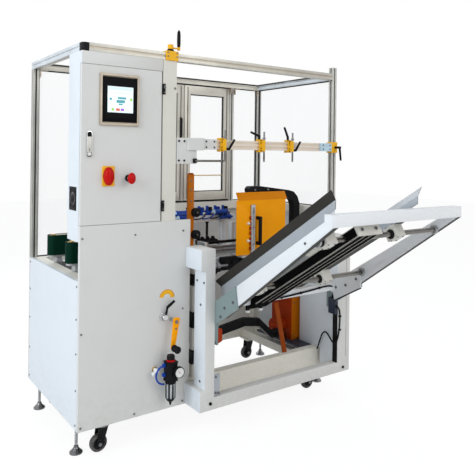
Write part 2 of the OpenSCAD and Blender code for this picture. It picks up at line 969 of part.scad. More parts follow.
module caster_wheel(x, y) {
    color("#26282a") machine()
        translate([x - caster_trail, y, axle_z])
            rotate([90, 0, 0])
                difference() {
                    union() {
                        cylinder(d = wheel_d - 6, h = wheel_w, center = true);
                        cylinder(d = wheel_d, h = wheel_w - 8, center = true);
                    }
                    cylinder(d = 12 + 2 * bore_gap, h = wheel_w + 2, center = true);
                }
}

module magazine_frame() {
    y = [-mag_d, 0];
    x = [mag_x, mag_left_in];
    color(white_paint) machine() union() {
        span(x, y, [mag_top - mag_block_h, mag_top]);
        span(x, y, [mag_z, mag_z + mag_block_h]);
        span([mag_left_in - mag_post_w, mag_left_in], [-mag_d, -mag_d + mag_post_d], [mag_z, mag_top]);
        span([mag_left_in - 1, mag_right_in + 1], [-mag_d, -mag_d + tube], [mag_z, mag_z + mag_rail_h]);
        span([mag_right_in, mag_right], y, [mag_z, mag_top]);
        span([mag_right_in, mag_right_in + 4], [-1, table_y[0] - 5], [leg_h + front_rail_h, tray_low_z - 60]);
    }
}

module bracket_plate(x) {
    y = [-mag_d + mag_post_d - 20, tray_y, arm_low_y - 110];
    side_outline(x, [
        [y[0], arm_top_z(y[0])], [y[2], arm_top_z(y[2])],
        [y[2] - 20, arm_top_z(y[2]) - arm_depth(y[2])], [y[0], arm_top_z(y[0]) - arm_low_h],
    ]);
}

module tray_brackets() {
    color("#b9c6c8") machine() {
        union() {
            bracket_plate([mag_left_in, arm_left]);
            span([mag_left_in, arm_left], [-mag_d, -mag_d + 40], [tray_low_z - 210, tray_low_z - 60]);
        }
        bracket_plate([arm_right, mag_right_in]);
    }
}

module tray_arm(x) {
    y = [arm_end_y, arm_low_y, -tray_reach];
    side_outline(x, [
        [y[0], arm_top_z(y[0])], [y[2], arm_top_z(y[2])],
        [y[2], arm_top_z(y[2]) - arm_top_h], [y[1], arm_top_z(y[1]) - arm_depth(y[1])],
        [y[0], arm_top_z(y[0]) - arm_top_h],
    ]);
}

module tray_frame() {
    front_z = arm_top_z(-tray_reach);
    low_z = [tray_low_z - 48, tray_low_z - 8];
    color(white_paint) machine() difference() {
        union() {
            tray_arm([arm_left, arm_left + arm_t]);
            tray_arm([arm_right - arm_t, arm_right]);
            span([arm_left, arm_right], [-tray_reach, -tray_reach + crossbar_d],
                 [front_z - arm_top_h, front_z]);
            span([arm_left, arm_right], [arm_end_y - 40, arm_end_y], low_z);
        }
        on_slope()
            for (y = shaft_y)
                rod_x([arm_left - 1, arm_right + 1], y, shaft_z, shaft_d + 2 * bore_gap);
    }
}

module tray_shafts() {
    color(silver) machine() on_slope()
        for (y = shaft_y)
            rod_x([arm_left + 2, arm_right - 2], y, shaft_z, shaft_d);
}

module tray_centre_beam() {
    z = [beam_top - beam_t, beam_top];
    groove = 12;
    color(silver) machine() on_slope() difference() {
        union() {
            span([beam_x, beam_x + beam_w], beam_y, z);
            span([beam_x - 8, beam_x + beam_w + 8], [beam_y[0] - 8, beam_y[0]], [z[0] - 2, z[1] + 2]);
        }
        for (x = [0.25, 0.75])
            span([beam_x + x * beam_w - groove / 2, beam_x + x * beam_w + groove / 2],
                 [beam_y[0], beam_y[1] + 1], [z[1] - 7, z[1] + 3]);
        for (y = shaft_y)
            rod_x([beam_x - 10, beam_x + beam_w + 10], y, shaft_z, shaft_d + 2 * bore_gap);
    }
}

// Tray wall with a bottom flange, a flared lip and two bearing blocks; side is 1 where it flares to the right
module tray_wall(x, side) {
    web = [min(x, x + side * wall_t), max(x, x + side * wall_t)];
    flange = [min(x, x - side * flange_w), max(x, x - side * flange_w)];
    block_mid = x - side * (10 + block_w / 2);
    block_x = [block_mid - block_w / 2, block_mid + block_w / 2];
    union() {
        side_outline(web, [
            [wall_low, -wall_t], [wall_mid, -wall_t], [wall_mid, notch_z],
            [wall_top, notch_z], [wall_top, wall_h], [wall_low, wall_h],
        ]);
        span(flange, [wall_mid, wall_low], [-wall_t, 0]);
        translate([x, wall_low, wall_h])
            rotate([90, 0, 0])
                linear_extrude(wall_low - wall_top)
                    polygon([[0, -0.5], [side * wall_t, -0.5],
                             [side * (wall_t + lip_flare), lip_h], [side * lip_flare, lip_h]]);
        for (y = shaft_y)
            difference() {
                span(block_x, [y - block_l / 2, y + block_l / 2], [shaft_z - block_h / 2, -wall_t]);
                rod_x([block_x[0] - 1, block_x[1] + 1], y, shaft_z, shaft_d + 2 * bore_gap);
            }
    }
}

module left_tray_wall() {
    color(grey_steel) machine() on_slope()
        tray_wall(left_wall_x, -1);
}

module right_tray_wall() {
    color(grey_steel) machine() on_slope()
        tray_wall(right_wall_x, 1);
}

module conveyor_table() {
    z = [side_h - tube, side_h];
    x = [panel_t + tube, table_end];
    carrier_x = [belt_x + 125, belt_x + belt_l - 85];
    color(grey_steel) machine() union() {
        for (y = table_y)
            span(x, [y, y + tube], z);
        for (cx = carrier_x)
            span([cx, cx + tube], [table_y[0], table_y[1] + tube], [side_h, belt_z - 10]);
        for (y = [near_belt_y, far_belt_y])
            belt_core(y);
        span([suction_x - 30, suction_x + 66], [panel_t + 80, table_y[0] + tube],
             [side_h, side_h + stand_t]);
        span([flap_x + 20, flap_x + flap_w - 20], [flap_y - 30, table_y[0] + tube],
             [side_h, side_h + stand_t]);
        span([fold_leg_x - 20, table_end], [table_y[0], table_y[1] + tube], [side_h, side_h + stand_t]);
        for (px = [flap_x - 280, flap_x + 180])
            span([px, px + 30], [table_y[1] + 5, table_y[1] + 45], [side_h, side_h + 204]);
        span([flap_x - 290, flap_x + 275], [table_y[1] + 5, table_y[1] + 45], [side_h + 164, side_h + 204]);
    }
}

// Carrier rail and pulleys inside a side belt
module belt_core(y) {
    r = belt_loop_w / 2 - belt_t - seat_gap;
    ends = [belt_x + belt_loop_w / 2, belt_x + belt_l - belt_loop_w / 2];
    span([ends[0], ends[1]], [y - r, y + r], [belt_z - 10, belt_z + belt_h - 6]);
    for (x = ends)
        translate([x, y, belt_z - 10])
            cylinder(r = r, h = belt_h + 4);
}

module side_belts() {
    color(belt_green) machine()
        for (y = [near_belt_y, far_belt_y])
            difference() {
                belt_loop(y, belt_loop_w / 2, [belt_z, belt_z + belt_h]);
                belt_loop(y, belt_loop_w / 2 - belt_t, [belt_z - 1, belt_z + belt_h + 1]);
            }
}

module belt_loop(y, r, z) {
    ends = [belt_x + belt_loop_w / 2, belt_x + belt_l - belt_loop_w / 2];
    union() {
        span(ends, [y - r, y + r], z);
        for (x = ends)
            translate([x, y, z[0]])
                cylinder(r = r, h = z[1] - z[0]);
    }
}

module flap_plate() {
    z = side_h + stand_t;
    color(orange_paint) machine() union() {
        span([flap_x, flap_x + flap_w], [flap_y, flap_y + 4], [z, z + flap_h]);
        translate([flap_x + 12, flap_y, z + flap_h])
            rotate([-28, 0, 0])
                span([0, flap_w], [0, 4], [-1, flap_lip]);
    }
}

module flap_handle() {
    z = side_h + stand_t;
    bar_x = [flap_x + 100, flap_x + 128];
    grip_x = [flap_x + 142, flap_x + 160];
    grip_z = [z + 54, z + 224];
    color(grey_steel) machine() union() {
        difference() {
            span(bar_x, [flap_y - 14, flap_y], [z, z + flap_h - 26]);
            span([bar_x[0] + 8, bar_x[1] - 8], [flap_y - 15, flap_y - 6], [z + 30, z + flap_h - 46]);
        }
        for (gz = [grip_z[0], grip_z[1] - 20])
            span(grip_x, [flap_y - 40, flap_y], [gz, gz + 20]);
        span(grip_x, [flap_y - 40, flap_y - 22], grip_z);
    }
}

// Bent black arm that folds the case's flaps, standing on the table
module folding_arm() {
    r = fold_t / 2;
    bend_x = fold_l - r;
    path = [[r, -r], [bend_x - 293, -r], [bend_x - 78, -r - 28], [bend_x - 39, -r - 37],
            [bend_x - 15, -r - 60], [bend_x, -r - 98], [bend_x, -fold_l / 2]];
    leg = fold_z - side_h - stand_t;
    color(black_plastic) machine()
        translate([fold_x, fold_y[1], fold_z])
            rotate([90, 0, 0])
                linear_extrude(fold_y[1] - fold_y[0]) {
                    for (i = [0 : len(path) - 2])
                        hull() {
                            translate(path[i])
                                circle(r = r, $fn = 24);
                            translate(path[i + 1])
                                circle(r = r, $fn = 24);
                        }
                    translate([fold_l - fold_t, -leg])
                        square([fold_t, leg - fold_l / 2]);
                }
}

module suction_bar() {
    y = [110, 126];
    z = [side_h + 10, side_h + 490];
    color(orange_paint) machine() union() {
        span([suction_x, suction_x + 36], y, z);
        for (wz = [side_h + 162, side_h + 282])
            rod_y(suction_x + 44, [y[0] - 18, y[0]], wz, 50);
    }
}

module air_valves() {
    y = table_y[1] + 10;
    z = side_h + 204;
    color(tube_blue) machine()
        for (i = [0 : 3])
            translate([flap_x + i * 62, y, z])
                union() {
                    span([0, 44], [0, 30], [0, 28]);
                    translate([12, 15, 28])
                        cylinder(d = 18, h = 20);
                    rod_y(32, [-14, 0], 14, 16);
                }
}

module drive_box() {
    x = [deck_x[0] + 50, deck_x[1]];
    z = deck_z + deck_t;
    color(orange_paint) machine() {
        span(x, [deck_y[0] + 135, deck_y[1] - 95], [z, z + 262]);
        translate([lean_x, panel_t + 32, z])
            difference() {
                rotate([0, -13, 0])
                    span([0, 30], [0, 10], [-20, 310]);
                span([-60, 60], [-5, 15], [-60, 0]);
            }
    }
}

module deck_plate() {
    color("#8c97a8") machine()
        span(deck_x, deck_y, [deck_z, deck_z + deck_t]);
}

left_x = caster_inset;
right_x = frame_w - caster_inset;

base_frame();
left_side_panel();
front_panel();
back_panel();
right_side_panel();
electrical_cabinet();
cabinet_fan();
door_hinges();
lift_column();
crank_block();
guard_rails();
guard_posts();
guard_corner_cap();
guard_windows();
filter_regulator();
regulator_bowl();
air_tubes();
levelling_feet();
magazine_frame();
tray_frame();
tray_brackets();
tray_shafts();
tray_centre_beam();
conveyor_table();
side_belts();
flap_plate();
flap_handle();
folding_arm();
suction_bar();
air_valves();
drive_box();
deck_plate();
control_door();
touch_panel();
door_lock();
switch_plate();
emergency_stop();
main_switch_knob();
lift_crank();
adjust_crank();
lock_lever();
guide_bar();
guide_slide();
rod_clamps();
hold_down_rods();
clamp_levers();
left_guard_door();
left_door_pane();
right_guard_door();
right_door_pane();
left_tray_wall();
right_tray_wall();
caster_fork(left_x, caster_y[0]);  // front_left_fork
caster_fork(right_x, caster_y[0]);  // front_right_fork
caster_fork(left_x, caster_y[1]);  // back_left_fork
caster_fork(right_x, caster_y[1]);  // back_right_fork
caster_wheel(left_x, caster_y[0]);  // front_left_wheel
caster_wheel(right_x, caster_y[0]);  // front_right_wheel
caster_wheel(left_x, caster_y[1]);  // back_left_wheel
caster_wheel(right_x, caster_y[1]);  // back_right_wheel
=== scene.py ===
import bpy
import bmesh
import math
from mathutils import Matrix, Vector


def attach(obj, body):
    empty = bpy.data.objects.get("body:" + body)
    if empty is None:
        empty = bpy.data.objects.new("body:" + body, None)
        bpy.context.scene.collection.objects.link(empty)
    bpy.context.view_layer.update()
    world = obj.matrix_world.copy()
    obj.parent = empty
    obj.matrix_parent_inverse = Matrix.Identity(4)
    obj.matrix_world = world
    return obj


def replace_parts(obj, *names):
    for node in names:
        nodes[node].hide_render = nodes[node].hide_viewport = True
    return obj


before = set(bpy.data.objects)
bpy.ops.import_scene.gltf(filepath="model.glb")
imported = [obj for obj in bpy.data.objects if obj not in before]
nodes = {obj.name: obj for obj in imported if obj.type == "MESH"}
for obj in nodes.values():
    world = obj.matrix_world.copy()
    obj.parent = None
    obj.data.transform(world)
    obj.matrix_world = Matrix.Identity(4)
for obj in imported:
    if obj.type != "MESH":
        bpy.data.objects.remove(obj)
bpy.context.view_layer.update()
print("frame loaded:", len(nodes), "solids")

corner = {"x": -0.820, "y": 0.064}  # the body's left front corner, in metres


def spot(x, y, z):  # millimetres from the body's left front corner on the floor
    return Vector((corner["x"] + x / 1000, corner["y"] + y / 1000, z / 1000))


# camera, floor and light
photoView = {"place": (-942.6, -2551.8, 1431.5), "yaw": 35.59, "roll": 0.711, "lens": 43.369, "shift": -0.1735}
studio = {"world": 0.58, "key": 125, "fill": 62, "back": 50, "floor": (0.86, 0.86, 0.86),
    "shadow": 0.16, "white": 1.062}


def addCamera(v):
    data = bpy.data.cameras.new("photoCamera")
    cam = bpy.data.objects.new("photoCamera", data)
    bpy.context.scene.collection.objects.link(cam)
    data.sensor_width = 36
    data.lens = v["lens"]
    data.shift_y = v["shift"]
    data.clip_start = 0.05
    data.clip_end = 60
    a = math.radians(v["yaw"])
    r = math.radians(v["roll"])
    ahead = Vector((math.sin(a), math.cos(a), 0))
    level = Vector((math.cos(a), -math.sin(a), 0))
    up = Vector((0, 0, 1))
    right = level * math.cos(r) + up * math.sin(r)
    top = up * math.cos(r) - level * math.sin(r)
    turn = Matrix((right, top, -ahead)).transposed().to_4x4()
    cam.matrix_world = Matrix.Translation(spot(*v["place"])) @ turn
    bpy.context.scene.camera = cam


def addNode(tree, kind, **settings):
    node = tree.nodes.new(kind)
    for key, value in settings.items():
        setattr(node, key, value)
    return node


def mathOn(tree, operation, first, second, **settings):
    node = addNode(tree, "ShaderNodeMath", operation=operation, **settings)
    tree.links.new(first, node.inputs[0])
    tree.links.new(second, node.inputs[1])
    return node.outputs[0]


def mixShaders(tree, first, second, mask=None):
    mix = tree.nodes.new("ShaderNodeMixShader")
    if mask:
        tree.links.new(mask, mix.inputs[0])
    tree.links.new(first.outputs[0], mix.inputs[1])
    tree.links.new(second.outputs[0], mix.inputs[2])
    return mix


def seenMask(tree):  # one for camera, mirror and glass rays
    rays = tree.nodes.new("ShaderNodeLightPath").outputs
    seen = mathOn(tree, "MAXIMUM", rays["Is Camera Ray"], rays["Is Glossy Ray"])
    return mathOn(tree, "MAXIMUM", seen, rays["Is Transmission Ray"])


def whiteForCamera(tree, glow, out):
    white = tree.nodes.new("ShaderNodeBackground")
    white.inputs["Color"].default_value = (1, 1, 1, 1)
    white.inputs["Strength"].default_value = 1
    mix = mixShaders(tree, glow, white, seenMask(tree))
    tree.links.new(mix.outputs[0], out.inputs["Surface"])


def addLamp(name, place, aim, size, power, tint):
    data = bpy.data.lights.new(name, "AREA")
    data.shape = "RECTANGLE"
    data.size = size[0]
    data.size_y = size[1]
    data.energy = power
    data.color = tint
    lamp = bpy.data.objects.new(name, data)
    bpy.context.scene.collection.objects.link(lamp)
    lamp.location = place
    lamp.rotation_euler = (Vector(aim) - Vector(place)).to_track_quat("-Z", "Y").to_euler()


def addStudio(s):
    scene = bpy.context.scene
    scene.view_settings.view_transform = "Standard"
    world = bpy.data.worlds.new("studioWorld")
    world.use_nodes = True
    scene.world = world
    tree = world.node_tree
    glow = tree.nodes["Background"]
    glow.inputs["Color"].default_value = (0.95, 0.97, 1.0, 1)
    glow.inputs["Strength"].default_value = s["world"]
    whiteForCamera(tree, glow, tree.nodes["World Output"])
    addLamp("keyLamp", (-4.6, -1.0, 2.9), (0, 0, 0.9), (2.8, 2.8), s["key"], (0.86, 0.94, 1))
    addLamp("fillLamp", (1.2, -4.6, 3.0), (0, -0.2, 0.9), (2.8, 2.8), s["fill"], (1, 0.99, 0.96))
    addLamp("backLamp", (0.4, 3.4, 3.4), (0, 0.2, 1.0), (3.0, 2.0), s["back"], (0.97, 0.99, 1))
    bpy.ops.object.select_all(action="DESELECT")
    bpy.ops.mesh.primitive_plane_add(size=30, location=(0, 0, -0.001))
    floor = bpy.context.object
    floor.name = "studioFloor"
    mat = bpy.data.materials.new("studioFloor")
    mat.use_nodes = True
    tree = mat.node_tree
    shader = tree.nodes["Principled BSDF"]
    shader.inputs["Base Color"].default_value = (*s["floor"], 1)
    shader.inputs["Roughness"].default_value = 0.9
    white = tree.nodes.new("ShaderNodeEmission")
    white.inputs["Strength"].default_value = s["white"]
    pale = mixShaders(tree, white, shader)  # mostly white, with some of the shadow left
    pale.inputs[0].default_value = s["shadow"]
    mix = mixShaders(tree, shader, pale, seenMask(tree))
    tree.links.new(mix.outputs[0], tree.nodes["Material Output"].inputs["Surface"])
    floor.data.materials.append(mat)


addCamera(photoView)
addStudio(studio)
print("camera, lamps and floor set")


# shader groups shared by the finishes
def newGroup(name, inputs, outputs):
    group = bpy.data.node_groups.new(name, "ShaderNodeTree")
    for label, kind, value in inputs:
        socket = group.interface.new_socket(name=label, in_out="INPUT", socket_type=kind)
        socket.default_value = value
    for label, kind in outputs:
        group.interface.new_socket(name=label, in_out="OUTPUT", socket_type=kind)
    return group, group.nodes.new("NodeGroupInput"), group.nodes.new("NodeGroupOutput")


def noiseOn(tree, vector, scale, detail=3.0, rough=0.55):
    noise = addNode(tree, "ShaderNodeTexNoise")
    noise.inputs["Detail"].default_value = detail
    noise.inputs["Roughness"].default_value = rough
    tree.links.new(vector, noise.inputs["Vector"])
    if isinstance(scale, (int, float)):
        noise.inputs["Scale"].default_value = scale
    else:
        tree.links.new(scale, noise.inputs["Scale"])
    return noise.outputs["Fac"]


def rangeOn(tree, value, low, high, outLow, outHigh):
    node = addNode(tree, "ShaderNodeMapRange", clamp=True)
    tree.links.new(value, node.inputs["Value"])
    for label, number in (("From Min", low), ("From Max", high), ("To Min", outLow), ("To Max", outHigh)):
        node.inputs[label].default_value = number
    return node.outputs["Result"]


def makeGrainGroup():  # orange peel or moulded grain: a height and a slow change of gloss
    group, inside, out = newGroup(
        "coatGrain",
        [("Scale", "NodeSocketFloat", 300.0)],
        [("Height", "NodeSocketFloat"), ("Gloss", "NodeSocketFloat")],
    )
    coords = addNode(group, "ShaderNodeTexCoord").outputs["Object"]
    group.links.new(noiseOn(group, coords, inside.outputs["Scale"], 2.0), out.inputs["Height"])
    slow = noiseOn(group, coords, 4.0, 4.0)
    group.links.new(rangeOn(group, slow, 0.3, 0.7, 0.0, 1.0), out.inputs["Gloss"])
    return group


def makeGrimeGroup():  # hand smudges and floor dust, stronger low down
    group, inside, out = newGroup(
        "workGrime",
        [("Smudge", "NodeSocketFloat", 0.4), ("Dust", "NodeSocketFloat", 0.5)],
        [("Mask", "NodeSocketFloat")],
    )
    coords = addNode(group, "ShaderNodeTexCoord").outputs["Object"]
    blot = rangeOn(group, noiseOn(group, coords, 5.5, 6.0, 0.62), 0.5, 0.74, 0.0, 1.0)
    smear = mathOn(group, "MULTIPLY", blot, inside.outputs["Smudge"])
    split = addNode(group, "ShaderNodeSeparateXYZ")
    group.links.new(coords, split.inputs[0])
    low = rangeOn(group, split.outputs["Z"], 0.10, 0.42, 1.0, 0.0)
    speck = rangeOn(group, noiseOn(group, coords, 38.0, 5.0, 0.7), 0.4, 0.7, 0.0, 1.0)
    floorDust = mathOn(group, "MULTIPLY", low, speck)
    dusty = mathOn(group, "MULTIPLY", floorDust, inside.outputs["Dust"])
    both = mathOn(group, "ADD", smear, dusty, use_clamp=True)
    group.links.new(both, out.inputs["Mask"])
    return group


def makeBrushGroup():  # fine drawn lines along one direction
    group, inside, out = newGroup(
        "drawnLines",
        [("Stretch", "NodeSocketVector", (4.0, 400.0, 400.0))],
        [("Lines", "NodeSocketFloat"), ("Blotch", "NodeSocketFloat")],
    )
    coords = addNode(group, "ShaderNodeTexCoord").outputs["Object"]
    scale = addNode(group, "ShaderNodeVectorMath", operation="MULTIPLY")
    group.links.new(coords, scale.inputs[0])
    group.links.new(inside.outputs["Stretch"], scale.inputs[1])
    group.links.new(noiseOn(group, scale.outputs[0], 1.0, 3.0), out.inputs["Lines"])
    group.links.new(noiseOn(group, coords, 9.0, 4.0), out.inputs["Blotch"])
    return group


coatGrain = makeGrainGroup()
workGrime = makeGrimeGroup()
drawnLines = makeBrushGroup()


finishes = {}


def newFinish(name):
    mat = bpy.data.materials.new(name)
    mat.use_nodes = True
    finishes[name] = mat
    return mat.node_tree, mat.node_tree.nodes["Principled BSDF"]


def placeGroup(tree, group, **values):
    node = addNode(tree, "ShaderNodeGroup", node_tree=group)
    for key, value in values.items():
        node.inputs[key].default_value = value
    return node


def mixColour(tree, mask, first, second):
    mix = addNode(tree, "ShaderNodeMix", data_type="RGBA")
    tree.links.new(mask, mix.inputs["Factor"])
    mix.inputs[6].default_value = (*first, 1)
    mix.inputs[7].default_value = (*second, 1)
    return mix.outputs[2]


def bumpFrom(tree, height, strength, depth):
    bump = addNode(tree, "ShaderNodeBump")
    bump.inputs["Strength"].default_value = strength
    bump.inputs["Distance"].default_value = depth
    tree.links.new(height, bump.inputs["Height"])
    return bump.outputs["Normal"]


def coatFinish(name, colour, soil, rough, grain=320.0, bump=0.12, smudge=0.1, dust=0.35, coat=0.0,
        metallic=0.0, shine=0.22):
    tree, shader = newFinish(name)
    skin = placeGroup(tree, coatGrain, Scale=grain)
    grime = placeGroup(tree, workGrime, Smudge=smudge, Dust=dust)
    tree.links.new(mixColour(tree, grime.outputs["Mask"], colour, soil), shader.inputs["Base Color"])
    gloss = rangeOn(tree, skin.outputs["Gloss"], 0.0, 1.0, rough - 0.06, rough + 0.06)
    tree.links.new(gloss, shader.inputs["Roughness"])
    tree.links.new(bumpFrom(tree, skin.outputs["Height"], bump, 0.0006), shader.inputs["Normal"])
    shader.inputs["Coat Weight"].default_value = coat
    shader.inputs["Coat Roughness"].default_value = 0.15
    shader.inputs["Metallic"].default_value = metallic
    shader.inputs["Specular IOR Level"].default_value = shine


def metalFinish(name, colour, shade, rough, stretch, bump=0.06, metallic=1.0):
    tree, shader = newFinish(name)
    lines = placeGroup(tree, drawnLines, Stretch=stretch)
    tone = rangeOn(tree, lines.outputs["Blotch"], 0.35, 0.68, 0.0, 1.0)
    tree.links.new(mixColour(tree, tone, colour, shade), shader.inputs["Base Color"])
    gloss = rangeOn(tree, lines.outputs["Lines"], 0.3, 0.7, rough - 0.08, rough + 0.1)
    tree.links.new(gloss, shader.inputs["Roughness"])
    tree.links.new(bumpFrom(tree, lines.outputs["Lines"], bump, 0.0004), shader.inputs["Normal"])
    shader.inputs["Metallic"].default_value = metallic


def glowFinish(name, colour, strength, rough=0.25):
    tree, shader = newFinish(name)
    skin = placeGroup(tree, coatGrain, Scale=60.0)
    deep = tuple(c * 0.93 for c in colour)
    tone = mixColour(tree, skin.outputs["Gloss"], colour, deep)
    tree.links.new(tone, shader.inputs["Base Color"])
    tree.links.new(tone, shader.inputs["Emission Color"])
    shader.inputs["Emission Strength"].default_value = strength
    shader.inputs["Roughness"].default_value = rough


def sheetFinish(name, colour, alpha, rough):
    tree, shader = newFinish(name)
    skin = placeGroup(tree, coatGrain, Scale=12.0)
    tone = mixColour(tree, skin.outputs["Gloss"], colour, tuple(c * 0.96 for c in colour))
    tree.links.new(tone, shader.inputs["Base Color"])
    gloss = rangeOn(tree, skin.outputs["Gloss"], 0.0, 1.0, rough, rough + 0.05)
    tree.links.new(gloss, shader.inputs["Roughness"])
    shader.inputs["Alpha"].default_value = alpha


coatFinish("bodyPaint", (0.66, 0.655, 0.635), (0.50, 0.48, 0.44), 0.42)
# coolLitPaint is the body paint made lighter and bluish: painted light of the cool lamp on the left
coatFinish("coolLitPaint", (0.70, 0.74, 0.78), (0.52, 0.53, 0.53), 0.42)
coatFinish("creamPaint", (0.69, 0.665, 0.60), (0.50, 0.47, 0.40), 0.42)
# litRailCream is the cream paint made lighter, as painted light on the shaded base rails
coatFinish("litRailCream", (0.82, 0.79, 0.71), (0.60, 0.57, 0.50), 0.42)
coatFinish("plateTeal", (0.22, 0.28, 0.28), (0.15, 0.19, 0.19), 0.38, smudge=0.35)
coatFinish("deckBlue", (0.028, 0.038, 0.062), (0.05, 0.05, 0.06), 0.35, smudge=0.4)
coatFinish("wallGrey", (0.40, 0.43, 0.46), (0.30, 0.31, 0.32), 0.36, smudge=0.3, metallic=0.2)
# lipShade is near black: painted shade on the tray walls' top lips
coatFinish("lipShade", (0.028, 0.026, 0.022), (0.06, 0.055, 0.05), 0.38, smudge=0.3, metallic=0.2)
coatFinish("blockCream", (0.62, 0.60, 0.55), (0.40, 0.38, 0.33), 0.40, smudge=0.4)
coatFinish("orangePaint", (0.97, 0.36, 0.001), (0.70, 0.23, 0.001), 0.36, smudge=0.2, shine=0.1)
coatFinish("orangeDark", (0.52, 0.14, 0.001), (0.34, 0.09, 0.002), 0.4, smudge=0.25, shine=0.1)
# orangeMid is a darker copy of the orange; on the flap's lip it is painted shade
coatFinish("orangeMid", (0.68, 0.22, 0.001), (0.46, 0.13, 0.001), 0.4, smudge=0.25, shine=0.1)
coatFinish("rustOrange", (0.30, 0.055, 0.004), (0.18, 0.035, 0.005), 0.45, smudge=0.4, shine=0.1)
coatFinish("rustRed", (0.36, 0.035, 0.004), (0.16, 0.018, 0.004), 0.45, smudge=0.5, shine=0.1)
coatFinish("yellowPaint", (0.86, 0.45, 0.02), (0.60, 0.30, 0.01), 0.36, smudge=0.25, shine=0.12)
coatFinish("blackPlastic", (0.006, 0.006, 0.007), (0.022, 0.022, 0.022), 0.46, 900.0, 0.25, 0.25, shine=0.09)
coatFinish("beamBlack", (0.006, 0.006, 0.006), (0.02, 0.02, 0.018), 0.85, 900.0, 0.2, 0.3, shine=0.005)
coatFinish("shadeGrey", (0.085, 0.085, 0.08), (0.13, 0.13, 0.12), 0.7, smudge=0.3, shine=0.05)
# grooveShade is painted shade in the slots of the profiles
coatFinish("grooveShade", (0.035, 0.034, 0.030), (0.07, 0.07, 0.065), 0.6, 900.0, 0.2, 0.3)
coatFinish("glossBlack", (0.003, 0.003, 0.004), (0.012, 0.012, 0.012), 0.3, 300.0, 0.02, 0.15, shine=0.04)
coatFinish("wheelRubber", (0.035, 0.035, 0.037), (0.16, 0.15, 0.14), 0.7, 700.0, 0.3, 0.3, 1.0)
coatFinish("beltRubber", (0.001, 0.022, 0.012), (0.005, 0.035, 0.022), 0.62, 500.0, 0.4, 0.4, shine=0.05)
coatFinish("redPlastic", (0.48, 0.004, 0.003), (0.30, 0.006, 0.005), 0.3, 700.0, 0.08, 0.15, shine=0.12)
coatFinish("bluePlastic", (0.008, 0.055, 0.36), (0.012, 0.04, 0.2), 0.3, 700.0, 0.06, 0.2)
coatFinish("gaugeWhite", (0.78, 0.78, 0.76), (0.6, 0.6, 0.57), 0.3, 400.0, 0.03, 0.2)
metalFinish("champagne", (0.48, 0.41, 0.32), (0.40, 0.34, 0.27), 0.4, (200.0, 200.0, 6.0), metallic=0.4)
metalFinish("silverBar", (0.56, 0.54, 0.48), (0.47, 0.45, 0.40), 0.38, (3.0, 420.0, 420.0), metallic=0.4)
metalFinish("silverPost", (0.54, 0.53, 0.49), (0.45, 0.44, 0.41), 0.38, (420.0, 420.0, 3.0), metallic=0.4)
# coolLitSilver is the rail silver made lighter and bluish: painted light of the cool lamp on the left
metalFinish("coolLitSilver", (0.66, 0.71, 0.75), (0.56, 0.60, 0.64), 0.38, (3.0, 420.0, 420.0), metallic=0.3)
metalFinish("guideCream", (0.78, 0.69, 0.59), (0.70, 0.61, 0.51), 0.4, (3.0, 420.0, 420.0), metallic=0.2)
metalFinish("frameCream", (0.64, 0.61, 0.54), (0.56, 0.53, 0.47), 0.4, (420.0, 420.0, 3.0), metallic=0.25)
metalFinish("darkChrome", (0.24, 0.24, 0.25), (0.13, 0.13, 0.14), 0.14, (60.0, 60.0, 60.0), 0.02, 0.95)
coatFinish("trayWhite", (0.78, 0.80, 0.82), (0.60, 0.61, 0.62), 0.4)
coatFinish("paleBlue", (0.50, 0.66, 0.76), (0.38, 0.50, 0.58), 0.4)
metalFinish("shaftSteel", (0.20, 0.19, 0.175), (0.13, 0.125, 0.115), 0.2, (3.0, 300.0, 300.0), metallic=0.85)
metalFinish("plainSteel", (0.46, 0.47, 0.48), (0.36, 0.37, 0.38), 0.38, (200.0, 200.0, 8.0), metallic=0.5)
metalFinish("chrome", (0.60, 0.60, 0.60), (0.52, 0.52, 0.53), 0.16, (60.0, 60.0, 60.0), 0.02, 0.9)
metalFinish("screwSteel", (0.20, 0.20, 0.21), (0.14, 0.14, 0.15), 0.35, (90.0, 90.0, 90.0), 0.05, 0.7)
metalFinish("brass", (0.62, 0.42, 0.14), (0.50, 0.32, 0.10), 0.28, (120.0, 120.0, 120.0), 0.05, 0.8)
sheetFinish("guardSheet", (0.86, 0.93, 0.95), 0.08, 0.04)
sheetFinish("clearBowl", (0.62, 0.66, 0.68), 0.55, 0.08)
glowFinish("screenWhite", (0.74, 0.86, 0.90), 0.35)
glowFinish("screenBar", (0.62, 0.78, 0.84), 0.25)
glowFinish("iconTeal", (0.03, 0.30, 0.36), 0.25)
glowFinish("iconGreen", (0.28, 0.62, 0.06), 0.25)
glowFinish("iconRed", (0.68, 0.08, 0.05), 0.25)
glowFinish("iconViolet", (0.34, 0.12, 0.62), 0.25)
print("finishes made:", len(finishes))


def dress(finish, *names):
    for name in names:
        slots = nodes[name].data.materials
        slots.clear()
        slots.append(finishes[finish])


casterNames = [a + "_" + b for a in ("front", "back") for b in ("left", "right")]
dress("bodyPaint", "front_panel", "back_panel", "electrical_cabinet", "magazine_frame")
dress("creamPaint", "lift_column")
dress("litRailCream", "base_frame")
dress("bodyPaint", "control_door", "guide_slide")
dress("trayWhite", "tray_frame")
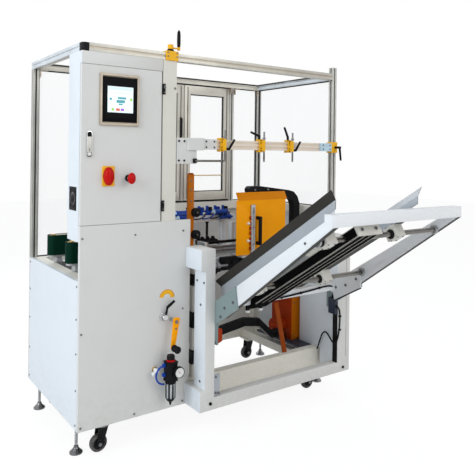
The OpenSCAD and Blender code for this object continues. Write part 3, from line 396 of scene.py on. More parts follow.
# the side panels get the lighter, bluish paint as painted light
dress("coolLitPaint", "left_side_panel", "right_side_panel")
dress("plateTeal", "tray_brackets")
dress("deckBlue", "deck_plate")
dress("orangePaint", "flap_plate", "suction_bar", "drive_box", "adjust_crank")
dress("yellowPaint", "crank_block", "lift_crank", "rod_clamps", "switch_plate")
dress("blackPlastic", "cabinet_fan", "door_hinges", "guard_corner_cap", "filter_regulator",
    "folding_arm", "lock_lever")
dress("blackPlastic", "clamp_levers", "touch_panel", *[c + "_fork" for c in casterNames])
dress("wheelRubber", *[c + "_wheel" for c in casterNames])
dress("beltRubber", "side_belts")
dress("redPlastic", "emergency_stop", "main_switch_knob")
dress("bluePlastic", "air_valves", "air_tubes")
dress("silverBar", "guard_rails", "door_lock")
dress("guideCream", "guide_bar")
dress("silverPost", "guard_posts")
dress("frameCream", "left_guard_door", "right_guard_door")
dress("shaftSteel", "tray_shafts", "hold_down_rods")
dress("plainSteel", "left_tray_wall", "right_tray_wall", "tray_centre_beam", "conveyor_table", "flap_handle")
dress("darkChrome", "levelling_feet")
dress("guardSheet", "guard_windows", "left_door_pane", "right_door_pane")
dress("clearBowl", "regulator_bowl")


# modelling helpers, in millimetres; a face test gets the face's middle and normal
facesFront = lambda c, n: n.y < -0.9
facesBack = lambda c, n: n.y > 0.9
facesLeft = lambda c, n: n.x < -0.9
facesRight = lambda c, n: n.x > 0.9
facesUp = lambda c, n: n.z > 0.9
facesDown = lambda c, n: n.z < -0.9
frontOrBack = lambda c, n: abs(n.y) > 0.9
eitherSide = lambda c, n: abs(n.x) > 0.9
anyFace = lambda c, n: True
weldGap = 0.00002  # metres
toFront = (0, -1, 0)
toBack = (0, 1, 0)
toLeft = (-1, 0, 0)
toRight = (1, 0, 0)
upward = (0, 0, 1)
downward = (0, 0, -1)


def around(middle, reach):
    return (middle - reach, middle + reach)


def within(span, margin):
    return (span[0] + margin, span[1] - margin)


def pickNothing():
    bpy.ops.object.select_all(action="DESELECT")


def pickOnly(piece):
    pickNothing()
    piece.select_set(True)
    bpy.context.view_layer.objects.active = piece


def settle(piece):  # puts the place, turn and size into the mesh
    pickOnly(piece)
    bpy.ops.object.transform_apply(location=True, rotation=True, scale=True)
    return piece


def startBlock(name, x, y, z):  # three ranges in millimetres
    pickNothing()
    low = spot(x[0], y[0], z[0])
    high = spot(x[1], y[1], z[1])
    bpy.ops.mesh.primitive_cube_add(size=1, location=(low + high) / 2)
    piece = bpy.context.object
    piece.name = name
    piece.scale = high - low
    return settle(piece)


def startDrum(name, base, axis, radius, length, sides=32):  # from the middle of its base along an axis
    pickNothing()
    axis = Vector(axis).normalized()
    middle = Vector(base) + axis * length / 2
    turn = axis.to_track_quat("Z", "Y").to_euler()
    bpy.ops.mesh.primitive_cylinder_add(
        vertices=sides, radius=radius / 1000, depth=length / 1000, location=spot(*middle), rotation=turn
    )
    piece = bpy.context.object
    piece.name = name
    return settle(piece)


def pickFaces(piece, test):  # edit mode, with the faces picked whose middle and normal pass the test
    pickOnly(piece)
    bpy.ops.object.mode_set(mode="EDIT")
    bpy.ops.mesh.select_mode(type="FACE")
    bpy.ops.mesh.select_all(action="DESELECT")
    mesh = bmesh.from_edit_mesh(piece.data)
    origin = spot(0, 0, 0)
    for face in mesh.faces:
        if test((face.calc_center_median() - origin) * 1000, face.normal):
            face.select_set(True)
    bmesh.update_edit_mesh(piece.data)


def leaveEdit():
    bpy.ops.object.mode_set(mode="OBJECT")


def insetPush(piece, test, rim, push):  # frames the picked faces, then pushes their middle out or in
    pickFaces(piece, test)
    if rim:
        bpy.ops.mesh.inset(thickness=rim / 1000, depth=0, use_even_offset=True)
    if push:
        bpy.ops.mesh.inset(thickness=0, depth=push / 1000)
    leaveEdit()


def drawOut(piece, test, move):  # extrudes the picked faces by millimetres
    pickFaces(piece, test)
    shift = {"value": Vector(move) / 1000, "orient_type": "GLOBAL"}
    bpy.ops.mesh.extrude_region_move(TRANSFORM_OT_translate=shift)
    leaveEdit()


def pinch(piece, test, factor):  # scales the picked faces about their own middle
    pickFaces(piece, test)
    mesh = bmesh.from_edit_mesh(piece.data)
    picked = [v.co for v in mesh.verts if v.select]
    middle = sum(picked, Vector()) / len(picked)
    bpy.ops.transform.resize(value=factor, center_override=middle)
    leaveEdit()


def applyAll(piece):
    pickOnly(piece)
    for name in [m.name for m in piece.modifiers]:
        bpy.ops.object.modifier_apply(modifier=name)


def roundOff(piece, width, segments=2, angle=35):
    edge = piece.modifiers.new("roundEdge", "BEVEL")
    edge.width = width / 1000
    edge.segments = segments
    edge.limit_method = "ANGLE"
    edge.angle_limit = math.radians(angle)
    applyAll(piece)
    return piece


def roundEnds(piece, width, segments):  # bevels the edges that run from front to back
    edge = piece.modifiers.new("ends", "BEVEL")
    edge.width = width / 1000
    edge.segments = segments
    edge.limit_method = "WEIGHT"
    weights = piece.data.attributes.new("bevel_weight_edge", "FLOAT", "EDGE")
    for line in piece.data.edges:
        a, b = (piece.data.vertices[i].co for i in line.vertices)
        weights.data[line.index].value = 1.0 if abs(a.y - b.y) > 0.001 else 0.0
    applyAll(piece)


def domeOut(piece, steps):  # raises the front in steps of (rim, rise) in metres
    pickFaces(piece, facesFront)
    for rim, rise in steps:
        bpy.ops.mesh.inset(thickness=rim, depth=rise)
    leaveEdit()


def stretch(piece, middle, factor):  # scales the whole piece about a point in millimetres
    pickFaces(piece, anyFace)
    bpy.ops.transform.resize(value=factor, center_override=spot(*middle))
    leaveEdit()


def mergedCopy(node, name):  # a CAD node's mesh, copied and merged, with flat faces joined
    piece = bpy.data.objects.new(name, nodes[node].data.copy())
    bpy.context.scene.collection.objects.link(piece)
    pickOnly(piece)
    bpy.ops.object.mode_set(mode="EDIT")
    bpy.ops.mesh.select_all(action="SELECT")
    bpy.ops.mesh.remove_doubles(threshold=weldGap)
    bpy.ops.mesh.dissolve_limited(angle_limit=math.radians(2))
    leaveEdit()
    return piece


def plateFrom(name, outline, x):  # a flat plate from (y, z) corners, between two places along X
    pickNothing()
    bpy.ops.mesh.primitive_circle_add(vertices=len(outline), radius=0.1, fill_type="NGON", location=(0, 0, 0))
    piece = bpy.context.object
    piece.name = name
    for vertex, (y, z) in zip(piece.data.vertices, outline):
        vertex.co = spot(x[0], y, z)
    drawOut(piece, anyFace, (x[1] - x[0], 0, 0))
    pickFaces(piece, anyFace)
    bpy.ops.mesh.normals_make_consistent(inside=False)
    leaveEdit()
    return piece


def tint(piece, finish):
    piece.data.materials.clear()
    piece.data.materials.append(finishes[finish])
    return piece


def dressUp(piece, finish, edge, segments, framed):  # framed: face test, rim and push
    if framed:
        insetPush(piece, *framed)
    if edge:
        roundOff(piece, edge, segments)
    return tint(piece, finish)


def makeBlock(name, x, y, z, finish, edge=0, segments=2, framed=None, start=startBlock):
    return dressUp(start(name, x, y, z), finish, edge, segments, framed)


def makeDrum(name, base, axis, radius, length, sides, finish, edge=0, segments=2, framed=None):
    return dressUp(startDrum(name, base, axis, radius, length, sides), finish, edge, segments, framed)


def tintFaces(piece, finish, test):  # a second finish on some faces
    piece.data.materials.append(finishes[finish])
    index = len(piece.data.materials) - 1
    origin = spot(0, 0, 0)
    for face in piece.data.polygons:
        if test((face.center - origin) * 1000, face.normal):
            face.material_index = index
    return piece


def joinAll(name, pieces):
    pickNothing()
    for piece in pieces:
        piece.select_set(True)
    bpy.context.view_layer.objects.active = pieces[0]
    if len(pieces) > 1:
        bpy.ops.object.join()
    pieces[0].name = name
    return pieces[0]


def copyPiece(piece, move, name=None):  # a copy with its own mesh, moved by millimetres
    copy = piece.copy()
    copy.data = piece.data.copy()
    copy.name = name or piece.name
    bpy.context.scene.collection.objects.link(copy)
    copy.data.transform(Matrix.Translation(Vector(move) / 1000))
    return copy


def tubeAlong(name, points, radius, finish, sides=4):  # a round tube through points in millimetres
    pickNothing()
    bpy.ops.curve.primitive_nurbs_path_add(location=(0, 0, 0))
    piece = bpy.context.object
    piece.name = name
    curve = piece.data
    curve.splines.clear()
    line = curve.splines.new("NURBS")
    line.points.add(len(points) - 1)
    for point, place in zip(line.points, points):
        point.co = (*spot(*place), 1)
    line.use_endpoint_u = True
    line.order_u = min(4, len(points))
    line.resolution_u = 6
    curve.bevel_depth = radius / 1000
    curve.bevel_resolution = sides
    curve.use_fill_caps = True
    pickOnly(piece)
    bpy.ops.object.convert(target="MESH")
    return tint(bpy.context.object, finish)


def finishPiece(piece, body, angle=35):
    pickOnly(piece)
    bpy.ops.object.shade_smooth_by_angle(angle=math.radians(angle))
    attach(piece, body)
    return piece


# one socket screw, copied wherever a screw shows
screwShape = {"head": 1.0, "rise": 0.62, "edge": 0.16, "rim": 0.42, "sink": -0.4}


def makeScrew(s):  # head radius 1 mm, standing on the body's corner
    piece = startDrum("screwModel", (0, 0, 0), upward, s["head"], s["rise"], 20)
    roundOff(piece, s["edge"], 2)
    insetPush(piece, lambda c, n: n.z > 0.99, s["rim"], s["sink"])
    return tint(piece, "screwSteel")


screwModel = makeScrew(screwShape)


def screwAt(place, axis, radius, finish=None):
    piece = copyPiece(screwModel, (0, 0, 0), "screw")
    turn = Vector(axis).to_track_quat("Z", "Y").to_matrix().to_4x4()
    home = Matrix.Translation(spot(0, 0, 0))
    piece.data.transform(home.inverted())
    piece.data.transform(Matrix.Translation(spot(*place)) @ turn @ Matrix.Scale(radius, 4))
    if finish:
        tint(piece, finish)
    return piece


def screwSet(name, places, axis, radius, body="machine_body", finish=None):
    heads = [screwAt(place, axis, radius, finish) for place in places]
    return finishPiece(joinAll(name, heads), body)


def softenEdges(width, *names):  # keeps a CAD solid and rounds its edges in the view
    for name in names:
        weld = nodes[name].modifiers.new("weld", "WELD")
        weld.merge_threshold = weldGap
        edge = nodes[name].modifiers.new("roundEdge", "BEVEL")
        edge.width = width / 1000
        edge.segments = 2
        edge.limit_method = "ANGLE"
        edge.angle_limit = math.radians(40)


def dressedCopy(node, name, body, finish, extra, edge=1.0, more=()):  # a merged copy with several finishes
    piece = mergedCopy(node, name)
    roundOff(piece, edge, 2, 35)
    tint(piece, finish)
    for other, test in extra:
        tintFaces(piece, other, test)
    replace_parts(finishPiece(joinAll(name, [piece] + list(more)), body, 35), node)


# control cabinet: touch panel, lock, main switch, emergency stop, fan and hinges
touch = {
    "frame": ((86, 285), (-12, 0), (1564, 1809)),
    "bezel": ((98, 274), (-14, -4), (1581, 1794)),
    "screen": ((121, 251), (-15, -10), (1626, 1749)),
    "tiles": [
        ("screenBar", (124, 248), (1733, 1746)), ("screenBar", (124, 248), (1718, 1721)),
        ("iconTeal", (165, 208), (1672, 1686)), ("iconTeal", (172, 214), (1690, 1700)),
        ("iconTeal", (176, 196), (1662, 1669)), ("iconGreen", (235, 246), (1684, 1698)),
        ("iconTeal", (130, 142), (1684, 1694)), ("iconGreen", (140, 153), (1634, 1646)),
        ("iconRed", (163, 182), (1634, 1646)), ("iconViolet", (187, 204), (1634, 1646)),
    ],
}


def makeTouchPanel(t):
    rim = makeBlock("touchRim", *t["frame"], "champagne", 1.6, framed=(facesFront, 11, -6))
    bezel = startBlock("touchBezel", *t["bezel"])
    roundOff(bezel, 3.0, 3)
    insetPush(bezel, lambda c, n: n.y < -0.99, 20, -0.6)
    tint(bezel, "glossBlack")
    lit = makeBlock("touchScreen", *t["screen"], "screenWhite", framed=(facesFront, 1.2, 0.4))
    tiles = [makeBlock("screenTile", x, (-15.9, -15.2), z, finish, 0.3, 1) for finish, x, z in t["tiles"]]
    piece = joinAll("touchPanelFace", [rim, bezel, lit] + tiles)
    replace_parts(finishPiece(piece, "control_door_body"), "touch_panel")


makeTouchPanel(touch)

lockCase = {"x": (24, 53), "z": (1411, 1535), "proud": 7, "ends": 0.8}


def makeLock(k):
    mid = sum(k["x"]) / 2
    half = (k["x"][1] - k["x"][0]) / 2
    case = startBlock("lockCase", k["x"], (-k["proud"], 0), k["z"])
    roundEnds(case, half * k["ends"], 6)
    roundOff(case, 0.8)
    insetPush(case, lambda c, n: n.y < -0.99, 3, -3.5)
    tint(case, "chrome")
    # the recess floor around the paddle is painted black as the shade in the gap
    tintFaces(case, "blackPlastic", lambda c, n: n.y < -0.9 and c.y > -k["proud"] + 2)
    paddle = makeBlock("lockPaddle", within(k["x"], 4), (-9, -2), (k["z"][0] + 24, k["z"][1] - 26), "silverPost",
        2.4, 3)
    key = makeDrum("lockKey", (mid, -2, k["z"][0] + 17), toFront, 8.5, 5.5, 24, "gaugeWhite", 0.6,
        framed=(facesFront, 2.2, -1.2))
    slot = makeBlock("lockSlot", around(mid, 1.2), (-9.6, -8.4), (k["z"][0] + 31, k["z"][0] + 44),
        "blackPlastic", 0.4, 1)
    piece = joinAll("paddleLock", [case, paddle, key, slot])
    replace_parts(finishPiece(piece, "control_door_body"), "door_lock")


makeLock(lockCase)

mainSwitch = {"x": 130, "z": 1324.5, "wide": 24.5, "tall": 43, "base": -6}


def makeMainSwitch(m):
    plate = makeBlock("switchPlate", (103, 165), (-6, 0), (1277, 1372), "yellowPaint", 2.2, 3)
    collar = makeDrum("switchCollar", (m["x"], m["base"] + 1, m["z"]), toFront, 25, 5, 40, "blackPlastic", 1.2)
    piece = joinAll("switchPlateFace", [plate, collar])
    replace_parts(finishPiece(piece, "control_door_body"), "switch_plate")
    knob = startDrum("switchKnob", (m["x"], m["base"] - 4.2, m["z"]), toFront, 24, 16, 48)
    domeOut(knob, ((0.003, 0.006), (0.006, 0.005), (0.007, 0.002)))
    stretch(knob, (m["x"], m["base"], m["z"]), (m["wide"] / 24, 1, m["tall"] / 24))
    grip = makeBlock("switchGrip", around(m["x"], 7), (-40, -30), around(m["z"], 33), "redPlastic", 4, 3)
    piece = joinAll("mainSwitchHandle", [tint(knob, "redPlastic"), grip])
    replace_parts(finishPiece(piece, "main_switch_body", 50), "main_switch_knob")


makeMainSwitch(mainSwitch)

stopButton = {"x": 236, "z": 1314, "foot": 17, "neck": 12, "head": (19.5, 27)}


def makeStopButton(b):
    at = (b["x"], 0, b["z"])
    foot = startDrum("stopFoot", at, toFront, b["foot"], 9, 40)
    roundOff(foot, 1.5)
    insetPush(foot, lambda c, n: n.y < -0.99, 3, -2)
    tint(foot, "blackPlastic")
    neck = makeDrum("stopNeck", (b["x"], -7, b["z"]), toFront, b["neck"], 25, 32, "blackPlastic",
        framed=(facesFront, 2, 3))
    ring = makeDrum("stopRing", (b["x"], -20, b["z"]), toFront, b["neck"] + 1.5, 6, 32, "champagne", 1)
    head = startDrum("stopHead", (b["x"], -31, b["z"]), toFront, b["head"][0] - 3, 4, 40)
    domeOut(head, ((0, 0.004),))
    pinch(head, facesFront, (1.19, 1, 1.19))
    domeOut(head, ((0.0, 0.006), (0.003, 0.005), (0.006, 0.004), (0.005, 0.001)))
    stretch(head, at, (1, 1, b["head"][1] / b["head"][0]))
    roundOff(head, 0.8, 2, 50)
    tint(head, "redPlastic")
    piece = joinAll("stopButton", [foot, neck, ring, head])
    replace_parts(finishPiece(piece, "control_door_body", 50), "emergency_stop")


makeStopButton(stopButton)

fanCover = {"y": (50, 150), "z": (1161, 1273), "proud": 12, "slats": 9}


def makeFan(f):
    case = startBlock("fanCase", (-f["proud"] + 12, 12), f["y"], f["z"])
    roundOff(case, 3, 3)
    insetPush(case, lambda c, n: n.x < -0.99, 9, -5)
    tint(case, "blackPlastic")
    slats = []
    step = (f["z"][1] - f["z"][0] - 24) / f["slats"]
    for i in range(f["slats"]):
        z = f["z"][0] + 12 + step * i
        slat = startBlock("fanSlat", (1, 7), within(f["y"], 8), (z + 2, z + 5))
        drawOut(slat, facesLeft, (-1.5, 0, -5))
        roundOff(slat, 0.5, 1)
        slats.append(tint(slat, "blackPlastic"))
    middle = (7, sum(f["y"]) / 2, sum(f["z"]) / 2)
    for size in (18, 30, 41):  # finger guard rings
        slats.append(makeDrum("fanRing", (2, middle[1], middle[2]), toLeft, size, 2.5, 40,
            "screwSteel" if size == 30 else "blackPlastic", framed=(eitherSide, 3.5, -0.8)))
    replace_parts(finishPiece(joinAll("fanCover", [case] + slats), "machine_body"), "cabinet_fan")


makeFan(fanCover)

doorTrim = {"hinges": (1149, 1735), "tall": 46}


def makeDoorTrim(d):
    plates = []
    for z in d["hinges"]:
        plates.append(makeBlock("hingeLeaf", (419, 433), (-3.5, -0.2), (z - 4, z + d["tall"] + 4), "blackPlastic",
            0.8, framed=(facesFront, 2, -0.6)))
        plates += [screwAt((427, -2.8, z + dz), toFront, 3.2) for dz in (6, d["tall"] - 6)]
    finishPiece(joinAll("hingeLeaves", plates), "machine_body")
    gasket = makeBlock("doorGasket", (4, 410), (18, 20.5), (1101, 1841), "blackPlastic",
        framed=(frontOrBack, 12, -1.2))
    tintFaces(gasket, "bodyPaint", lambda c, n: n.y > 0.9 and c.y < 20)  # the door's bare back
    finishPiece(gasket, "control_door_body")


makeDoorTrim(doorTrim)
# the cabinet's left faces get the lighter, bluish paint as painted light
dressedCopy("electrical_cabinet", "cabinetShell", "machine_body", "bodyPaint",
    [("coolLitPaint", facesLeft)], 2.0)
screwSet("columnScrews", [(430, 0, 1766), (488, 0, 1766)], toFront, 6)
print("control cabinet dressed")


def turnedPiece(name, base, axis, rings, finish, sides=32):  # rings of (radius, distance along the axis)
    axis = Vector(axis).normalized()
    start = Vector(base) + axis * rings[0][1]
    piece = startDrum(name, start, axis, rings[0][0], max(rings[1][1] - rings[0][1], 0.02), sides)
    far = start + axis * max(rings[1][1] - rings[0][1], 0.02)
    ends = lambda c, n: n.dot(axis) > 0.98 and (c - far).dot(axis) > -0.02
    if rings[1][0] != rings[0][0]:
        pinch(piece, ends, [rings[1][0] / rings[0][0]] * 3)
    for (oldR, oldA), (newR, newA) in zip(rings[1:], rings[2:]):
        drawOut(piece, ends, axis * (newA - oldA))
        far = start + axis * (newA - rings[0][1])
        if newR != oldR:
            pinch(piece, ends, [newR / oldR] * 3)
    return tint(piece, finish)


# lift crank on the guard rail
liftCrank = {"x": 468.74, "y": 17.5, "z": 1965, "reach": 48}


def makeLiftCrank(k):
    at = (k["x"], k["y"], k["z"])
    end = (k["x"] + k["reach"], k["y"], k["z"])
    spindle = turnedPiece("liftSpindle", at, upward, [(6.8, -97), (6.8, 0)], "shaftSteel", 24)
    hub = turnedPiece("liftHub", at, upward, [(13, 0), (15, 2), (15, 20), (12, 24), (7, 24), (7, 22)], "yellowPaint")
    arm = startBlock("liftArm", (k["x"], end[0]), around(k["y"], 5), (k["z"] + 4, k["z"] + 12))
    pinch(arm, facesRight, (1, 0.8, 0.8))
    tint(roundOff(arm, 1.6), "yellowPaint")
    boss = turnedPiece("liftBoss", end, upward, [(7, 0), (8, 1.5), (8, 15), (6, 16)], "yellowPaint", 24)
    rings = [(6.5, 16), (8.4, 20), (9.5, 44), (9.2, 78), (8.0, 92), (5.0, 100), (2.0, 104)]
    grip = turnedPiece("liftGrip", end, upward, rings, "blackPlastic", 28)
    piece = joinAll("liftCrankHandle", [spindle, hub, arm, boss, grip])
    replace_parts(finishPiece(piece, "lift_crank_body", 40), "lift_crank")
    collar = turnedPiece("liftFlange", at, upward, [(21, -12), (21, -8), (17, -7), (17, -1.5), (9, -1.5)],
        "blackPlastic")
    finishPiece(collar, "machine_body", 40)


makeLiftCrank(liftCrank)
screwSet("crankBlockScrews", [(442, -8, 1925), (494, -8, 1925), (442, -8, 1944), (494, -8, 1944)], toFront, 4.2)
softenEdges(1.5, "crank_block")

# guide bar over the tray
guide = {"x": (662, 1508), "grooves": (1475, 1497), "clamps": (774, 1039, 1250), "rodTop": 1563,
    "rodLow": 1395, "narrow": 0.36}


def makeGuideTrim(g):
    parts = []
    for z in g["grooves"]:
        for y in ((10.2, 11.8), (30.2, 31.8)):
            parts.append(makeBlock("guideGroove", g["x"], y, around(z, 3.9), "guideCream",
                framed=(frontOrBack, 1.6, -0.5)))
    parts.append(makeBlock("guideCap", (658, 661.2), (6.5, 35.5), (1462, 1510), "blackPlastic", 1))
    finishPiece(joinAll("guideGrooves", parts), "guide_body")
    rods = []
    for x in g["clamps"]:
        at = (x + 12, -22, 0)
        rings = [(1.5, g["rodLow"] - 0.5), (5.6, g["rodLow"] + 14), (5.6, g["rodLow"] + 52)]
        rods.append(turnedPiece("rodFoot", at, upward, rings, "shaftSteel", 24))
        rings = [(8.6, 1523.2), (8.6, 1531), (7.4, 1532), (5.3, 1532)]
        rods.append(turnedPiece("rodCollar", at, upward, rings, "screwSteel", 24))
        rings = [(5.3, g["rodTop"] - 6), (5.3, g["rodTop"] - 0.2), (3.8, g["rodTop"] + 1.4)]
        rods.append(turnedPiece("rodTip", at, upward, rings, "screwSteel", 24))
    finishPiece(joinAll("rodFittings", rods), "guide_body")


makeGuideTrim(guide)


def makeClampSet(g):  # clamps drawn in to the width of their plates, and levers with fuller handles
    clamps = mergedCopy("rod_clamps", "rodClamps")
    for x in g["clamps"]:
        pickFaces(clamps, lambda c, n: abs(c.x - x) < 26)
        bpy.ops.transform.resize(value=(g["narrow"], 1, 1), center_override=spot(x + 8, 0, 0))
        leaveEdit()
    roundOff(clamps, 0.9, 2)
    parts = [tint(clamps, "yellowPaint")]
    tintFaces(clamps, "paleBlue", lambda c, n: g["x"][1] < c.x < 1585)
    for x in g["clamps"]:
        parts += [screwAt((x - 2.5, -10, dz), toFront, 3.4, "blackPlastic") for dz in (1458, 1472, 1500, 1514)]
    for x in (g["clamps"][0], g["clamps"][2]):
        rings = [(7, 14), (7, 20), (5, 21), (5, 28)]
        parts.append(turnedPiece("leverStud", (x, -15, 1463), toRight, rings, "blackPlastic", 20))
    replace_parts(finishPiece(joinAll("rodClamps", parts), "guide_body"), "rod_clamps")
    levers = mergedCopy("clamp_levers", "clampLevers")
    pickFaces(levers, anyFace)
    bpy.ops.transform.shrink_fatten(value=0.0016)
    leaveEdit()
    roundOff(levers, 1.5, 2, 40)
    tint(levers, "blackPlastic")
    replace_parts(finishPiece(levers, "guide_body", 40), "clamp_levers")


makeClampSet(guide)
softenEdges(1.2, "guide_bar")
softenEdges(2.0, "guide_slide")
slideScrews = [(548, 2, 1500), (548, 2, 1400), (516, 2, 1500), (516, 2, 1400)]
screwSet("slideScrews", slideScrews, toFront, 5.5, "guide_body", "blackPlastic")
bracketScrews = [(x, -6, z) for x in (677, 727) for z in (1471, 1501)]
screwSet("bracketScrews", bracketScrews, toFront, 4.6, "guide_body", "blackPlastic")

tieRod = {"x": (606, 782), "y": -8, "z": 1399}


def makeTieRod(t):
    at = (t["x"][0], t["y"], t["z"])
    length = t["x"][1] - t["x"][0]
    rings = [(8.5, 0), (8.5, 10), (5.8, 12), (5.8, length - 14), (7.6, length - 12), (7.6, length)]
    rod = turnedPiece("tieRod", at, toRight, rings, "shaftSteel", 24)
    lug = makeBlock("tieLug", (600, 616), (-16, 3), (1388, 1411), "blackPlastic", 1.4, framed=(facesFront, 3, -1))
    finishPiece(joinAll("tieRod", [rod, lug]), "guide_body")


makeTieRod(tieRod)

endBracket = {"x": (1507, 1594), "y": (-9.5, 21.5), "z": (1461.5, 1510.5)}


def makeEndBracket(e):
    block = makeBlock("endBracket", e["x"], e["y"], e["z"], "paleBlue", 1.6, framed=(facesFront, 7, -0.8))
    heads = [screwAt((x, -9, z), toFront, 4.4) for x in (1522, 1578) for z in (1474, 1498)]
    finishPiece(joinAll("endBracket", [block] + heads), "guide_body")


makeEndBracket(endBracket)
print("lift crank and guide bar dressed")


def turnAbout(piece, place, axis, degrees):  # turns the mesh about a point in millimetres
    home = Matrix.Translation(spot(*place))
    piece.data.transform(home @ Matrix.Rotation(math.radians(degrees), 4, axis) @ home.inverted())
    return piece


# front panel: crank, lock lever, air regulator and screws
frontScrews = [(12, 0, 1037), (278, 0, 1037), (546, 0, 1040), (12, 0, 596), (548, 0, 640), (14, 0, 164),
    (283, 0, 164), (552, 0, 164)]
screwSet("frontPanelScrews", frontScrews, toFront, 5)

adjustCrank = {"x": 482, "z": 595, "arm": 138, "lean": 8, "y": (-56, -50), "ends": 9}


def makeAdjustCrank(k):
    pivot = (k["x"], 0, k["z"])
    arm = startBlock("crankArm", around(k["x"], 19), k["y"], (k["z"] - k["arm"], k["z"] + 21))
    pinch(arm, facesDown, (0.58, 1, 1))
    roundEnds(arm, k["ends"], 5)
    tint(roundOff(arm, 0.9), "orangePaint")
    hub = turnedPiece("crankHub", pivot, toFront, [(10, 0.3), (10, 46), (14, 46.2), (14, 50), (9, 50.2)],
        "plainSteel")
    nut = turnedPiece("crankNut", pivot, toFront, [(9.5, 56), (9.5, 61), (8, 62)], "screwSteel", 6)
    end = (k["x"], -56, k["z"] - k["arm"] + 11)
    lobes = [(8, 0), (13, 3), (17, 10), (17.5, 16), (13, 25), (11, 29), (13, 33), (18, 42), (18, 48),
        (13, 56), (7, 58)]
    grip = turnedPiece("crankGrip", end, toFront, lobes, "blackPlastic", 28)
    piece = joinAll("adjustCrank", [arm, nut, grip, screwAt((k["x"] + 2, -56, k["z"] - 34), toFront, 5)])
    turnAbout(piece, pivot, "Y", k["lean"])
    piece = joinAll("adjustCrank", [piece, hub])
    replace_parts(finishPiece(piece, "adjust_crank_body", 40), "adjust_crank")


makeAdjustCrank(adjustCrank)

lockLever = {"x": 434, "z": 616}


def makeLockLever(v):
    at = (v["x"], 0, v["z"])
    rings = [(19, 0.4), (19, 5), (16.8, 6), (16.8, 26), (15, 30), (9, 30), (8, 33)]
    hub = turnedPiece("leverHub", at, toFront, rings, "chrome")
    finishPiece(hub, "lock_lever_body", 40)


makeLockLever(lockLever)
softenEdges(1.0, "lock_lever")

turnBand = {"x": 456, "z": 706, "inner": 21, "outer": 43}


def makeTurnBand(t):  # a plain arched band over the lever
    x = (t["x"] + t["inner"], t["x"] + t["outer"])
    band = startBlock("turnBand", x, (-0.9, 0.2), (t["z"], t["z"] + 1))
    pickFaces(band, facesUp)
    bpy.ops.mesh.spin(steps=14, angle=math.radians(168), center=spot(t["x"], 0, t["z"]), axis=(0, 1, 0))
    bpy.ops.mesh.select_all(action="SELECT")
    bpy.ops.mesh.normals_make_consistent(inside=False)
    leaveEdit()
    tint(band, "yellowPaint")
    edge = (t["inner"] + t["outer"]) / 2
    middle = Vector((t["x"], 0, t["z"]))
    insetPush(band, facesFront, 3, -0.3)
    tintFaces(band, "orangeMid", lambda c, n: (c - middle).length > edge + 6)
    finishPiece(band, "machine_body")


makeTurnBand(turnBand)

regulator = {"x": 452, "y": -56, "z": 309, "gauge": (480, 354), "dial": 1.2}


def makeRegulator(r):
    x, y, z = r["x"], r["y"], r["z"]
    parts = [makeBlock("regulatorBody", around(x, 28), around(y, 26), (z, z + 97), "blackPlastic", 3, 3,
        framed=(lambda c, n: abs(n.y) > 0.9 or abs(n.x) > 0.9, 7, -2))]
    parts.append(makeBlock("regulatorArm", around(x, 20), (y + 25, 0), (z + 47, z + 85), "plainSteel", 1.5,
        framed=(eitherSide, 5, -3)))
    parts.append(turnedPiece("regulatorNeck", (x, y, z + 97), upward,
        [(22, 0), (22, 5), (19, 6), (19, 8)], "redPlastic"))
    knob = turnedPiece("regulatorKnob", (x, y, z + 97), upward, [(19, 8), (20, 9), (20, 26), (17, 30), (6, 30)],
        "blackPlastic", 36)
    parts.append(knob)
    gx, gz = r["gauge"]
    face = (gx, y - 22, gz)
    parts.append(turnedPiece("gaugeStem", (x + 26, y - 20, gz), toRight, [(7, 0), (7, 10)], "brass", 24))
    k = r["dial"]
    rings = [(17 * k, 0), (23 * k, 4), (23 * k, 19), (22 * k, 22), (19.6 * k, 22), (19.6 * k, 20)]
    parts.append(turnedPiece("gaugeRim", face, toFront, rings, "blackPlastic", 40))
    parts.append(turnedPiece("gaugeFace", face, toFront, [(19.4 * k, 19.6), (19.4 * k, 20.4)], "gaugeWhite", 40))
    for i in range(11):
        tick = makeBlock("gaugeTick", around(gx, 0.5), (y - 42.8, y - 42.2),
            (gz + 13 * k, gz + (17.6 if i % 5 == 0 else 16) * k), "blackPlastic", 0.2, 1)
        parts.append(turnAbout(tick, face, "Y", -135 + 27 * i))
    needle = startBlock("gaugeNeedle", around(gx, 0.9), (y - 43.4, y - 42.8), (gz - 4, gz + 13 * k))
    pinch(needle, facesUp, (0.3, 1, 1))
    parts.append(turnAbout(tint(needle, "redPlastic"), face, "Y", -40))
    parts.append(turnedPiece("gaugeHub", face, toFront, [(2.2, 20.3), (2.2, 22), (1.4, 22.4)], "blackPlastic", 16))
    rings = [(11, 0), (11, 6), (8, 7), (8, 13)]
    parts += [turnedPiece("tubeNut", (x - 27, y + 12, z + dz), toLeft, rings, "bluePlastic", 20) for dz in (76, 30)]
    port = [(12, 0), (12, 9), (9, 10), (9, 22)]
    parts.append(turnedPiece("outPort", (x + 24, y + 4, z + 12), (1, 0, -0.2), port, "redPlastic", 20))
    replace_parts(finishPiece(joinAll("airRegulator", parts), "machine_body", 40), "filter_regulator")


makeRegulator(regulator)

airBowl = {"x": 452, "y": -56, "top": 309, "ribs": 8}


